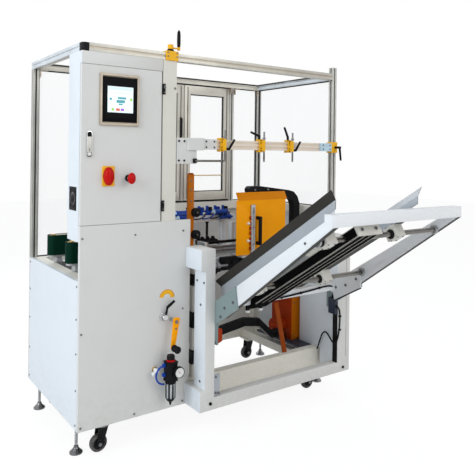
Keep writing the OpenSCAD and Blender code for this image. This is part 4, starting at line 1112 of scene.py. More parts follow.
def makeAirBowl(b):
    at = (b["x"], b["y"], b["top"])
    rings = [(24, 0), (24, 70), (22.5, 86), (16, 98), (8, 102)]
    parts = [turnedPiece("bowlGlass", at, downward, rings, "clearBowl", 40)]
    for name, rings, finish, sides in (
        ("bowlCollar", [(26.5, -1), (27.5, 1), (27.5, 10), (25, 12)], "blackPlastic", 40),
        ("bowlFoot", [(23.4, 84), (22.6, 88), (16.5, 99), (8.4, 103)], "blackPlastic", 40),
        ("bowlDrain", [(7, 102), (7, 110), (5, 112), (5, 119.5)], "blackPlastic", 20),
        ("bowlCore", [(9, 2), (9, 46), (12, 48), (12, 54), (5, 56)], "gaugeWhite", 24),
    ):
        parts.append(turnedPiece(name, at, downward, rings, finish, sides))
    rib = makeBlock("bowlRib", around(b["x"], 4), (b["y"] - 25.2, b["y"] - 23.6), (b["top"] - 84, b["top"] - 10),
        "blackPlastic", 0.4, 1, framed=(facesFront, 1.4, -0.4))
    parts += [turnAbout(copyPiece(rib, (0, 0, 0)), at, "Z", i * 360 / b["ribs"]) for i in range(b["ribs"])]
    bpy.data.objects.remove(rib)
    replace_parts(finishPiece(joinAll("airBowl", parts), "machine_body", 40), "regulator_bowl")


makeAirBowl(airBowl)

airInlet = {"x": 388, "z": 362}


def makeAirInlet(a):
    at = (a["x"], 0, a["z"])
    parts = [turnedPiece("inletNut", at, toFront, [(12, 0), (12, 8), (9, 9)], "brass", 6)]
    parts.append(turnedPiece("inletStem", at, toFront, [(8, 8), (8, 22), (10, 23), (10, 40), (7, 43)],
        "gaugeWhite", 24))
    elbow = (a["x"], -32, a["z"])
    parts.append(turnedPiece("inletElbow", elbow, (-0.85, 0, -0.5), [(7.5, 0), (7.5, 20), (9, 21), (9, 30), (6, 31)],
        "gaugeWhite", 24))
    finishPiece(joinAll("airInlet", parts), "machine_body", 40)


makeAirInlet(airInlet)
softenEdges(2.5, "front_panel", "left_side_panel", "right_side_panel", "back_panel")
# the frame's left faces get the lighter, bluish paint as painted light
dressedCopy("magazine_frame", "magazineFrame", "machine_body", "bodyPaint",
    [("coolLitPaint", facesLeft)], 2.5)
softenEdges(2.0, "control_door", "lift_column", "base_frame")
print("front panel dressed")


# tray: guide walls, bearings, centre beam and its fixings
slope = {"y": -158, "z": 700, "tilt": 32}


def onSlope(x, y, z):  # from the tray's own slope to the body's corner, in millimetres
    a = math.radians(slope["tilt"])
    return Vector((x, slope["y"] + y * math.cos(a) + z * math.sin(a), slope["z"] - y * math.sin(a) + z * math.cos(a)))


def alongSlope(place):  # back to the slope
    a = math.radians(slope["tilt"])
    y, z = place[1] - slope["y"], place[2] - slope["z"]
    return Vector((place[0], y * math.cos(a) - z * math.sin(a), y * math.sin(a) + z * math.cos(a)))


def slopeAxis(x, y, z):
    return onSlope(x, y, z) - onSlope(0, 0, 0)


def slopeBlock(name, x, y, z):  # a block set square to the tray
    piece = startBlock(name, x, y, z)
    home = Matrix.Translation(spot(0, slope["y"], slope["z"]))
    start = Matrix.Translation(spot(0, 0, 0))
    piece.data.transform(home @ Matrix.Rotation(math.radians(-slope["tilt"]), 4, "X") @ start.inverted())
    return piece


trayWall = {"top": 66, "end": -940, "shafts": (-774, -230), "shaftZ": -37}


def makeTrayWall(w, node, name, body, side, blockX):
    piece = roundOff(mergedCopy(node, name), 0.9, 2, 25)
    for vertex in piece.data.vertices:  # the upper end is cut plumb
        place = alongSlope((vertex.co - spot(0, 0, 0)) * 1000)
        if place.y < w["end"]:
            vertex.co += slopeAxis(0, (w["top"] - place.z) * math.tan(math.radians(slope["tilt"])), 0) / 1000
    tint(piece, "wallGrey")
    lip = lambda c, n: alongSlope(c).z > w["top"] - 0.4
    # the top lip is painted near black as shade
    tintFaces(piece, "lipShade", lambda c, n: lip(c, n) and n.x * side > -0.2)
    # the walls' downward faces are painted dark grey as shade
    tintFaces(piece, "shadeGrey", lambda c, n: n.dot(slopeAxis(0, 0, -1)) > 0.9 and alongSlope(c).z < -2)
    tintFaces(piece, "blockCream", lambda c, n: alongSlope(c).z < -3.4)
    parts = [piece]
    for y in w["shafts"]:
        for x, way in ((blockX[0], -1), (blockX[1], 1)):
            rings = [(22, 0), (22, 3), (19, 5), (19, 9), (13.2, 9)]
            parts.append(turnedPiece("lockRing", onSlope(x, y, w["shaftZ"]), (way, 0, 0), rings, "blackPlastic", 32))
        for x in within(blockX, 12):
            for dy in (-22, 22):
                parts.append(screwAt(onSlope(x, y + dy, w["shaftZ"] - 25), slopeAxis(0, 0, -1), 4.4))
                parts.append(screwAt(onSlope(x, y + dy, 0), slopeAxis(0, 0, 1), 4.4))
    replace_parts(finishPiece(joinAll(name, parts), body, 30), node)


makeTrayWall(trayWall, "left_tray_wall", "leftTrayWall", "left_wall_body", -1, (716, 776))
makeTrayWall(trayWall, "right_tray_wall", "rightTrayWall", "right_wall_body", 1, (1153, 1213))

centreBeam = {"x": (855, 985), "y": (-855, -30), "top": -14, "under": -60, "slots": (887.5, 952.5), "tail": 58}


def makeCentreBeam(b):
    parts = []
    # slots along the beam's top, painted shade
    for x in b["slots"]:
        parts.append(makeBlock("beamSlot", around(x, 5.8), (b["y"][0] + 2, b["y"][1] - 1),
            (b["top"] - 6.5, b["top"] - 4.5), "grooveShade", 0.5, 1, start=slopeBlock))
    for x in (b["x"][0] + 3, b["x"][0] + 45, b["x"][1] - 45, b["x"][1] - 3):  # silver strips along the underside: painted highlights on the black beam
        parts.append(makeBlock("beamUnder", around(x, 1.8), (b["y"][0] + 6, b["y"][1] - 2),
            (b["under"] - 0.8, b["under"] + 1.5), "silverBar", framed=(lambda c, n: n.z < -0.7, 0.6, 0.3),
            start=slopeBlock))
    for x in (b["x"][0], b["x"][1]):  # and along its two sides, also painted highlights
        for z in (b["under"] + 2, b["top"] - 2):
            parts.append(makeBlock("beamSide", around(x, 0.7), (b["y"][0] + 6, b["y"][1] - 2), around(z, 1.6),
                "silverBar", framed=(eitherSide, 0.6, -0.3), start=slopeBlock))
    parts.append(makeBlock("beamEnd", within(b["x"], -9), (b["y"][0] - 9, b["y"][0] + 1),
        (b["under"] - 3, b["top"] + 3), "blockCream", 2, start=slopeBlock))
    for x in within(b["x"], 22):
        parts.append(screwAt(onSlope(x, b["y"][0] - 9, sum((b["under"], b["top"])) / 2), slopeAxis(0, -1, 0), 8))
    finishPiece(joinAll("beamTrim", parts), "machine_body", 30)
    tail = makeBlock("beamTail", within(b["x"], 1), (b["y"][1] - 4, b["tail"]), (b["under"] + 1, b["top"] - 1),
        "beamBlack", 2, framed=(eitherSide, 8, -2), start=slopeBlock)
    parts = [tail]
    for x in (b["x"][0] + 3, b["x"][0] + 88):  # cups on short stems under the low end
        foot = onSlope(x, b["tail"] - 4, b["under"]) - Vector((0, 0, 16))
        parts.append(turnedPiece("tailCup", foot, upward, [(7, 0), (13, 4), (14, 14), (11.5, 14), (11.5, 8)],
            "gaugeWhite", 28))
        parts.append(turnedPiece("tailStem", foot, upward, [(10.8, 6), (10.8, 46)], "blackPlastic", 28))
    finishPiece(joinAll("beamTail", parts), "machine_body", 35)


makeCentreBeam(centreBeam)

plateScrews = [(650, -234, 679), (650, -305, 722), (650, -200, 628)]
screwSet("leftPlateScrews", plateScrews, toLeft, 7)
screwSet("rightPlateScrews", [(1520, y, z) for x, y, z in plateScrews], toRight, 7)

armSide = {"top": 700, "start": -158, "end": -960, "back": -322, "tall": 50, "deep": 118}


def makeArmPlates(a):  # covers on the arms, and the foot plate of the right one
    rise = lambda y: a["top"] + (a["start"] - y) * math.tan(math.radians(slope["tilt"]))
    deep = lambda y: a["deep"] + (a["tall"] - a["deep"]) * (a["start"] - y) / (-a["end"] + a["start"])
    face = [(a["back"], rise(a["back"]) - 2), (a["end"] + 2, rise(a["end"]) - 2),
        (a["end"] + 2, rise(a["end"]) - a["tall"] + 2)]
    face.append((a["back"], rise(a["back"]) - deep(a["back"]) + 2))
    cover = plateFrom("armCover", face, (657.4, 660.6))
    parts = [tint(roundOff(cover, 1), "trayWhite")]
    parts.append(screwAt((657.4, -803, 1071), toLeft, 6, "screwSteel"))
    other = plateFrom("armCover", face, (1509.4, 1512.6))
    parts.append(tint(roundOff(other, 1), "trayWhite"))
    foot = plateFrom("armFoot", [(-361, 813), (-367, 700), (-164, 590), (-134, 700)], (1475, 1480.4))
    insetPush(foot, facesLeft, 4, -0.6)
    parts.append(tint(roundOff(foot, 1.2), "trayWhite"))
    lip = plateFrom("armFootEdge", [(-367, 703), (-367, 696), (-164, 584), (-164, 592)], (1473.5, 1482))
    parts.append(tint(roundOff(lip, 1.5), "blackPlastic"))
    parts += [screwAt((1475.6, y, z), toLeft, 7.5, "screwSteel") for y, z in ((-178, 668), (-253, 695), (-332, 744))]
    parts.append(screwAt((1480, -801, 1074), toLeft, 6, "screwSteel"))
    finishPiece(joinAll("armPlates", parts), "machine_body")


makeArmPlates(armSide)
isEnd = lambda c, n: alongSlope(c).y < centreBeam["y"][0] + 1
dressedCopy("tray_centre_beam", "centreBeam", "machine_body", "beamBlack", [("blockCream", isEnd)], 1.2)
# the frame's downward faces at its two sides are painted dark grey as shade
isUnder = lambda c, n: n.z < -0.5 and not 700 < c.x < 1470
dressedCopy("tray_frame", "trayFrame", "machine_body", "trayWhite", [("shadeGrey", isUnder)], 2.0)
softenEdges(1.6, "tray_brackets")

shaftEnd = {"x": (690, 1480), "shafts": (-774, -230), "z": -37}


def makeShaftEnds(s):
    parts = []
    for y in s["shafts"]:
        for x, way in ((s["x"][0], 1), (s["x"][1], -1)):
            rings = [(23, 0), (23, 5), (20, 6), (20, 13), (13, 13)]
            parts.append(turnedPiece("shaftCollar", onSlope(x, y, s["z"]), (way, 0, 0), rings, "plainSteel", 36))
            parts.append(screwAt(onSlope(x + way * 9, y - 20, s["z"]), slopeAxis(0, -1, 0), 3.5))
    finishPiece(joinAll("shaftCollars", parts), "machine_body", 35)


makeShaftEnds(shaftEnd)
print("tray dressed")


# guard: groove strips, window seals, door fittings and corner brackets
guard = {"w": 35, "railZ": 1905, "railTop": 1945, "depth": 800, "width": 1640, "seal": 5, "slot": 3.0, "topLine": 10,
    "sunk": (3.4, 5.0), "thin": 1.6, "half": 4.2, "along": (36, 1604), "across": (36, 799)}


# a strip sunk into a profile slot; with grooveShade it is painted shade in the slot
def grooveStrip(x, y, z, finish="grooveShade"):
    strip = startBlock("grooveStrip", x, y, z)
    spans = [b - a for a, b in (x, y, z)]
    thin = spans.index(min(spans))
    insetPush(strip, lambda c, n: abs(n[thin]) > 0.9, 1.2, -0.4)
    return tint(strip, finish)


def makeGrooveStrips(g):
    strips = []
    mid, back = g["w"] / 2, g["depth"] - g["w"]
    low, high = g["railZ"], g["railTop"]
    sheet = lambda place: (place, place + g["thin"])
    sides = (g["sunk"][0], g["w"] - g["sunk"][1])
    posts = ((0, back, 836), (586, back, 1110), (1359, back, 1110), (1605, back, 1110), (1605, 0, 1110))
    for x, y, z in posts:  # the right front post runs past the rail
        tall = (z + 1, (low if (x, y) != (1605, 0) else 1983) - 1)
        for side in sides:
            strips.append(grooveStrip(sheet(x + side), around(y + mid, g["slot"]), tall))
            strips.append(grooveStrip(around(x + mid, g["slot"]), sheet(y + side), tall))
    level = around((low + high) / 2, g["half"])
    caps = (low + g["sunk"][0], high - g["sunk"][1])
    for y, finish in ((0, "champagne"), (back, "frameCream")):
        strips += [grooveStrip(g["along"], sheet(y + side), level, finish) for side in sides]
        strips += [grooveStrip(g["along"], around(y + mid, g["half"]), sheet(z), "frameCream") for z in caps]
    # the side rails' slot strips take the lighter, bluish silver as painted light
    for x in (0, 1605):
        strips += [grooveStrip(sheet(x + side), g["across"], level, "coolLitSilver") for side in sides]
        strips += [grooveStrip(around(x + mid, g["half"]), g["across"], sheet(z), "frameCream") for z in caps]
    line = (high - 1 - g["topLine"], high - 1)  # painted shade in the upper slots on the back and right rails
    strips.append(grooveStrip(g["along"], (back - 0.6, back + 1), line))
    strips.append(grooveStrip((1604.4, 1606), (36, back - 1), line))
    finishPiece(joinAll("grooveStrips", strips), "machine_body")


makeGrooveStrips(guard)


def sealFrame(x, y, z, width):  # four strips round a window, mitred by a small bevel
    strips = [roundOff(startBlock("seal", a, y, z), 1.2, 2) for a in ((x[0], x[0] + width), (x[1] - width, x[1]))]
    for c in ((z[0], z[0] + width), (z[1] - width, z[1])):
        strips.append(roundOff(startBlock("seal", (x[0] + width - 1, x[1] - width + 1), y, c), 1.2, 2))
    return [tint(strip, "blackPlastic") for strip in strips]


def makeWindowSeals(g):
    y = (g["depth"] - g["w"] / 2 - 6, g["depth"] - g["w"] / 2 + 6)
    seals = sealFrame((35.4, 585.6), y, (836.4, 1904.6), g["seal"])
    seals += sealFrame((1394.4, 1604.6), y, (1110.4, 1904.6), g["seal"])
    side = g["width"] - g["w"] / 2
    for strip in sealFrame((35.4, 764.6), (-6, 6), (1110.4, 1904.6), g["seal"]):
        turnAbout(strip, (0, 0, 0), "Z", 90)
        strip.data.transform(Matrix.Translation(Vector((side, 0, 0)) / 1000))
        seals.append(strip)
    for z in (1110.2, 1898):  # long strips under and over the doors
        seals.append(makeBlock("panelSeal", (621.4, 1358.6), (768, 796), (z, z + 6.8), "blackPlastic", 2))
    finishPiece(joinAll("windowSeals", seals), "machine_body")


makeWindowSeals(guard)

backDoor = {"left": (624, 986), "right": (994, 1356), "z": (1123, 1895), "stile": 45, "rail": 57, "y": (765, 797)}


def makeBackDoor(d, side):
    x = d[side]
    body = side + "_door_body"
    inner = (x[0] + d["stile"] + 0.4, x[1] - d["stile"] - 0.4)
    level = (d["z"][0] + d["rail"] + 0.4, d["z"][1] - d["rail"] - 0.4)
    parts = sealFrame(inner, (776, 789), level, 5)
    parts.append(makeBlock("doorSweep", within(x, 3), (769, 793), (d["z"][0] - 5, d["z"][0] + 1),
        "blackPlastic", 1.5))
    for mid in (x[0] + d["stile"] / 2, x[1] - d["stile"] / 2):  # slot along each stile, painted shade
        parts += [grooveStrip(around(mid, 3), around(y, 0.5), within(d["z"], 8)) for y in d["y"]]
    finishPiece(joinAll(side + "DoorTrim", parts), body)
    grip = x[1] - d["stile"] / 2
    isGrip = lambda c, n: side == "left" and c.y > 798 and abs(c.x - grip) < 9
    isHinge = lambda c, n: c.y > 797.2 and not isGrip(c, n)
    dressedCopy(side + "_guard_door", side + "GuardDoor", body, "frameCream",
                [("blackPlastic", isGrip), ("blackPlastic", isHinge)], 1.2)


makeBackDoor(backDoor, "left")
makeBackDoor(backDoor, "right")

doorFit = {"hinges": (1230, 1725), "tall": 60, "x": (622.5, 1357.5)}


def makeDoorFit(f):
    parts = []
    for x, way in ((f["x"][0], -1), (f["x"][1], 1)):
        for z in f["hinges"]:
            parts.append(makeBlock("postLeaf", sorted((x + way * 5, x + way * 27)), (800, 803), (z, z + f["tall"]),
                "blackPlastic", 0.8))
            parts += [screwAt((x + way * 17, 803, z + dz), toBack, 4) for dz in (12, f["tall"] - 12)]
    finishPiece(joinAll("postLeaves", parts), "machine_body")
    bar = turnedPiece("paneBar", (1041, 779, 1290), toRight, [(3.4, 0), (3.4, 270)], "brass", 12)
    finishPiece(bar, "right_door_body")
    grip = startBlock("innerGrip", (957, 971), (748, 766), (1541, 1680))
    pinch(grip, facesFront, (0.7, 1, 0.86))
    finishPiece(tint(roundOff(grip, 3, 3), "blackPlastic"), "left_door_body")


makeDoorFit(doorFit)

cornerPlate = {"reach": 46, "thick": 5}


def makeCornerPlates(c):
    parts, top = [], guard["railZ"]
    places = ((35, 760, 1), (1605, 760, -1), (586, 760, -1), (621, 752, 1), (1394, 760, 1), (1359, 752, -1))
    for x, y, way in places:
        parts.append(makeBlock("cornerFoot", sorted((x, x + way * c["reach"])), around(y, 11),
            (top - c["thick"], top), "champagne", 1))
        parts.append(makeBlock("cornerLeg", sorted((x, x + way * c["thick"])), around(y, 11),
            (top - c["reach"], top), "champagne", 1))
        parts.append(screwAt((x + way * c["thick"], y, 1880), (way, 0, 0), 5))
        parts.append(screwAt((x + way * 30, y, top - c["thick"]), downward, 5))
    finishPiece(joinAll("cornerPlates", parts), "machine_body")


makeCornerPlates(cornerPlate)
# the rails' left faces get the lighter, bluish silver as painted light
dressedCopy("guard_rails", "guardRails", "machine_body", "silverBar", [("coolLitSilver", facesLeft)], 1.2)
softenEdges(1.2, "guard_posts")
softenEdges(3.0, "guard_corner_cap")
print("guard dressed")


# forming table: flap plate, handle, folding arm, suction bar, belts and air fittings
flap = {"x": (990, 1360), "y": 150, "z": 846, "bend": 1166}

isLip = lambda c, n: c.z > flap["bend"] + 0.5
isBeam = lambda c, n: c.y > 555 and c.z > 836
dressedCopy("conveyor_table", "conveyorTable", "machine_body", "plainSteel", [("trayWhite", isBeam)], 1.2)
# the flap's bent lip is painted a darker orange as shade
dressedCopy("flap_plate", "flapPlate", "machine_body", "orangePaint", [("orangeMid", isLip)], 0.8)


def makeFlapFittings(f):
    parts = []
    for i in range(7):  # rust red edge of the slotted bar
        z = f["z"] + 24 + 30 * i
        bit = startBlock("barEdge", (f["x"][0] + 92, f["x"][0] + 100.4), (f["y"] - 13, f["y"]),
            (z, z + 24 - 3 * (i % 3)))
        pinch(bit, facesLeft, (1, 1, 0.6))
        parts.append(tint(roundOff(bit, 1), "rustRed"))
    for z in (f["z"] + 82, f["z"] + 184):
        rings = [(9, 0), (9, 6), (6, 7), (6, 15), (4, 16)]
        parts.append(turnedPiece("barBolt", (f["x"][0] + 84, f["y"], z), toFront, rings, "gaugeWhite", 6))
    parts += [screwAt((f["x"][0] + 114, f["y"] - 14, f["z"] + z), toFront, 5) for z in (60, 160, 250)]
    finishPiece(joinAll("flapBarFittings", parts), "machine_body")
    isGrip = lambda c, n: c.x > f["x"][0] + 135
    dressedCopy("flap_handle", "flapHandle", "machine_body", "plainSteel", [("blackPlastic", isGrip)], 4.0)


makeFlapFittings(flap)

suction = {"x": 640, "y": 110, "wheels": (998, 1118), "wheelX": 684}


def makeSuctionBar(s):
    more = []
    for z in s["wheels"]:
        rings = [(25.4, 1), (25.4, 4), (23, 5), (23, 13), (25.4, 14), (25.4, 18.4), (10, 18.6), (9, 24), (5, 25)]
        more.append(turnedPiece("suctionWheel", (s["wheelX"], s["y"], z), toFront, rings, "blackPlastic", 36))
        more.append(turnedPiece("wheelPin", (s["wheelX"], s["y"], z), toFront,
            [(4.6, 24), (4.6, 27), (3, 28)], "screwSteel", 6))
        more.append(makeBlock("wheelLug", (s["x"] + 30, s["wheelX"] + 14), (s["y"] + 0.5, s["y"] + 12), around(z, 14),
            "orangeDark", 3, 3))
    nearWheel = lambda c: any(abs(c.z - z) < 25.6 for z in s["wheels"])
    isWheel = lambda c, n: c.y < s["y"] + 0.2 and nearWheel(c) and c.x > s["x"] + 18.5
    dressedCopy("suction_bar", "suctionBar", "machine_body", "orangeDark",
        [("blackPlastic", isWheel)], 1.0, more)
    cap = startBlock("suctionTop", (s["x"] + 4, s["x"] + 32), (s["y"] - 3, s["y"] + 19), (1322, 1332))
    pinch(cap, facesUp, (0.7, 0.8, 1))
    finishPiece(tint(roundOff(cap, 1.5), "rustOrange"), "machine_body")
    screwSet("suctionScrews", [(s["x"] + 18, s["y"], z) for z in (880, 920, 1180, 1240, 1290)], toFront, 5)


makeSuctionBar(suction)

airFittings = {"x": (990, 1052, 1114, 1176), "y": 570, "z": 1040,
    "cylinders": ((826, 578, 1059, 20), (834, 551, 1034, 17), (1096, 550, 1060, 20), (1130, 550, 1026, 16))}


def makeAirFittings(a):
    parts = []
    for i, x in enumerate(a["x"]):
        parts.append(turnedPiece("valveCap", (x + 12, a["y"] + 15, a["z"] + 48), upward,
            [(9, 0), (10, 2), (10, 9), (7, 12)], "bluePlastic", 20))
        parts.append(turnedPiece("valveNut", (x + 32, a["y"] - 14, a["z"] + 14), toFront,
            [(9, 0), (9, 7), (6, 8), (6, 14)], "brass" if i % 2 else "gaugeWhite", 6))
        parts.append(makeBlock("valveCoil", (x + 24, x + 43), (a["y"] + 2, a["y"] + 28), (a["z"] + 28, a["z"] + 52),
            "blackPlastic" if i % 2 else "bluePlastic", 1.5, framed=(frontOrBack, 3, -1.5)))
        route = [(x + 32, a["y"] - 26, a["z"] + 14), (x + 30, a["y"] - 40, a["z"] + 6),
            (x + 10, a["y"] - 40, a["z"] - 14)]
        route += [(x - 20, a["y"] - 20, a["z"] - 20), (x - 40, a["y"] - 9, a["z"] - 20)]
        parts.append(tubeAlong("valveTube", route, 4, "blackPlastic" if i % 2 == 0 else "bluePlastic"))
    for x, y, z, size in a["cylinders"]:  # short air cylinders with pale end caps
        rings = [(size, 0), (size, 12), (size - 3, 14), (size - 3, 78), (size, 80), (size, 94), (6, 96), (6, 112)]
        parts.append(turnedPiece("airCylinder", (x, y, z), toRight, rings, "bluePlastic", 28))
        parts.append(turnedPiece("cylinderCap", (x, y, z), toLeft,
            [(size - 2, 0), (size - 2, 5), (5, 7), (5, 16)], "paleBlue", 28))
        parts.append(turnedPiece("cylinderPort", (x + 84, y, z + size - 2), upward,
            [(6, 0), (6, 9), (8, 10), (8, 18)], "blackPlastic", 16))
    left = [(725, 571, 1030), (735, 520, 1040), (770, 500, 1060), (830, 510, 1062),
        (900, 545, 1055), (960, 568, 1056)]
    parts.append(tubeAlong("mainTube", left, 6, "bluePlastic"))
    finishPiece(joinAll("airFittings", parts), "machine_body", 40)


makeAirFittings(airFittings)

gripper = {"x": 1062, "y": 470, "z": 1000}


def makeGripper(g):  # lifting rod with its clamp, hung under the beam
    parts = []
    rings = [(11, 0), (11, 12), (8, 14), (8, 128), (13, 130), (13, 150)]
    parts.append(turnedPiece("liftRod", (g["x"], g["y"] + 110, g["z"]), downward, rings, "blackPlastic", 24))
    arm = startBlock("gripArm", (g["x"] - 74, g["x"] + 58), (g["y"] + 84, g["y"] + 136), (852, 880))
    drawOut(arm, facesRight, (22, 0, -6))
    insetPush(arm, facesUp, 8, 6)
    parts.append(tint(roundOff(arm, 3, 3), "blackPlastic"))
    for dx in (-62, -34, 6, 46):
        rings = [(15, 0), (15, 7), (11, 9), (11, 16), (6, 18)]
        parts.append(turnedPiece("gripKnob", (g["x"] + dx, g["y"] + 110, 884), upward, rings, "blackPlastic", 24))
    finishPiece(joinAll("liftGripper", parts), "machine_body", 40)
    parts = []
    for y, z, r in ((400, 892, 9), (370, 866, 7), (340, 850, 7)):
        rings = [(r + 3, 0), (r + 3, 14), (r, 16), (r, 320), (r + 3, 322), (r + 3, 340)]
        parts.append(turnedPiece("pushRod", (890, y, z), toRight, rings,
            "screwSteel" if r == 7 else "blackPlastic", 24))
    parts.append(makeBlock("rodBlock", (886, 912), (326, 414), (836, 906), "plainSteel", 2,
        framed=(facesLeft, 8, -3)))
    parts.append(copyPiece(parts[-1], (316, 0, 0)))
    for x in ((884, 914), (1186, 1228)):  # bars between the table beams, under the rod blocks
        parts.append(makeBlock("crossBar", x, (238, 562), (796, 836.5), "plainSteel", 1.5,
            framed=(eitherSide, 8, -2)))
    parts.append(makeBlock("whitePost", (1180, 1214), (470, 500), (836, 1000), "coolLitPaint", 1.5,
        framed=(facesFront, 7, -3)))
    parts.append(makeBlock("postFoot", (1170, 1224), (455, 515), (834, 848), "plainSteel", 2))
    finishPiece(joinAll("pushRods", parts), "machine_body", 40)


makeGripper(gripper)

beltTop = {"x": (25, 685), "y": (265, 550), "z": (880, 988), "r": 31}


def makeBeltTrim(b):
    parts = []
    for y in b["y"]:
        for x in (b["x"][0] + b["r"], b["x"][1] - b["r"]):
            rings = [(24, 0), (24, 3), (12, 4), (12, 9), (7, 10)]
            parts.append(turnedPiece("pulleyCap", (x, y, b["z"][1] - 6), upward, rings, "brass", 32))
        parts.append(makeBlock("beltCover", within(b["x"], 40), around(y, 22), (b["z"][1] - 8, b["z"][1] - 2),
            "champagne", 1, framed=(facesUp, 6, -1.5)))
        for x in (70, 150):
            stand = startBlock("beltStand", (x, x + 26), around(y, 20), (840, 872))
            pinch(stand, facesDown, (1.5, 1.2, 1))
            parts.append(tint(roundOff(stand, 1.5), "plainSteel"))
    finishPiece(joinAll("beltTrim", parts), "machine_body", 40)


makeBeltTrim(beltTop)
softenEdges(1.2, "side_belts", "folding_arm", "air_valves")
screwSet("foldArmScrews", [(1498, 200, z) for z in (880, 930, 1010)] + [(x, 200, 1222) for x in (1160, 1260)],
    toFront, 7)

chainBox = {"x": (900, 1330), "y": (168, 190.6), "z": (766, 843)}


def makeChainBox(c):  # dark chain guard, cylinder and hoses below the flap plate
    parts = [makeBlock("chainBox", c["x"], c["y"], c["z"], "blackPlastic", 4, 3, framed=(facesFront, 10, -3))]
    for i in range(7):
        at = (c["x"][0] + 26 + 62 * i, c["y"][0], c["z"][0] + 38)
        rings = [(17, 0), (17, 5), (12, 6), (12, 10), (5, 11)]
        parts.append(turnedPiece("chainWheel", at, toFront, rings, "blackPlastic", 28))
    rings = [(19, 0), (19, 20), (15, 22), (15, 170), (19, 172), (19, 192), (6, 193), (6, 250)]
    parts.append(turnedPiece("tableCylinder", (680, 150, 800), toRight, rings, "screwSteel", 28))
    block = startBlock("cylinderFoot", (690, 720), (130, 190), (770, 790))
    drawOut(block, facesBack, (0, 6, 20))
    parts.append(tint(roundOff(block, 2), "blackPlastic"))
    parts.append(copyPiece(parts[-1], (150, 0, 0)))
    for dy, drop in ((0, 40), (16, 70), (30, 24)):
        route = [(700, 172 + dy, 818), (740, 168 + dy, 832 - drop), (800, 166 + dy, 800 - drop),
            (870, 166 + dy, 800 - drop), (912, 170 + dy, 806)]
        parts.append(tubeAlong("tableHose", route, 6, "blackPlastic"))
    finishPiece(joinAll("chainBox", parts), "machine_body", 40)


makeChainBox(chainBox)

liftPost = {"x": (624, 660), "y": (28, 66), "z": (257.5, 836), "bands": ((330, 400), (520, 600), (742, 800))}


def makeLiftPost(p):
    parts = [makeBlock("liftPost", p["x"], p["y"], p["z"], "blockCream", 1.2,
        framed=(lambda c, n: abs(n.x) > 0.9 or abs(n.y) > 0.9, 7, -3))]
    for z in p["bands"]:
        parts.append(makeBlock("postBand", within(p["x"], -6), (p["y"][0] - 8, p["y"][1] + 6), z, "blackPlastic", 2,
            framed=(lambda c, n: n.y < -0.9 or n.x < -0.9, 6, -2)))
        parts.append(screwAt((p["x"][0] + 20, p["y"][0] - 6, z[0] + 20), toFront, 6))
    finishPiece(joinAll("liftPost", parts), "machine_body")


makeLiftPost(liftPost)
print("forming table dressed")


# lower right: drive box, deck, cables, brackets, feet and casters
drive = {"x": (1470, 1568), "y": (205, 405), "z": (258, 520)}


def makeDriveBox(d):
    more = [makeBlock("driveDoor", within(d["x"], 6), (d["y"][0] - 4, d["y"][0] + 1), within(d["z"], 10),
        "orangeDark", 1.5, framed=(facesFront, 9, -1.5))]
    more += [screwAt((d["x"][0] + 14, d["y"][0] - 4, z), toFront, 5) for z in within(d["z"], 26)]
    isLeft = lambda c, n: n.x < -0.7 and c.y > 150
    isLean = lambda c, n: c.y < 100
    # the box's left faces are painted a darker red as shade
    dressedCopy("drive_box", "driveBox", "machine_body", "orangeDark",
        [("rustRed", isLeft), ("rustOrange", isLean)], 1.6, more)
    parts = []
    rings = [(40, 0), (46, 3), (46, 20), (43, 21), (43, 60), (46, 62), (46, 74), (20, 76), (12, 96)]
    parts.append(turnedPiece("driveMotor", (1470, 300, 340), toLeft, rings, "rustRed", 40))
    for i in range(10):
        fin = makeBlock("motorFin", (1411, 1448), (298.8, 301.2), (340 + 42, 340 + 48), "rustRed", 0.6, 1)
        parts.append(turnAbout(fin, (0, 300, 340), "X", 36 * i))
    guard = startBlock("driveGuard", (1330, 1420), (226, 262), (286, 336))
    for x, z in ((-100, 92), (-110, 18), (-200, -28), (-170, 6)):  # the cover's bends, right to left
        drawOut(guard, facesLeft, (x, 0, z))
    parts.append(tint(roundOff(guard, 5, 3), "blackPlastic"))
    for x, z in ((1375, 306), (1225, 404), (1110, 414), (930, 394), (790, 390)):
        parts.append(turnedPiece("guardPin", (x, 226, z), toFront, [(14, 0), (14, 5), (9, 6), (9, 10)],
            "blackPlastic", 24))
    holders = [((716, 758), (44, 258), (376, 414)), ((654, 758), (32, 60), (376, 414)),
        ((1404, 1440), (229, 259), (257.5, 300))]
    for x, y, z in holders:  # arm to the lift post, foot on the deck
        parts.append(makeBlock("guardStrut", x, y, z, "blackPlastic", 1.5, framed=(facesFront, 6, -2)))
    finishPiece(joinAll("driveMotor", parts), "machine_body", 40)


makeDriveBox(drive)

cabling = {"box": ((1498, 1521), (-150, -92), (498, 590))}


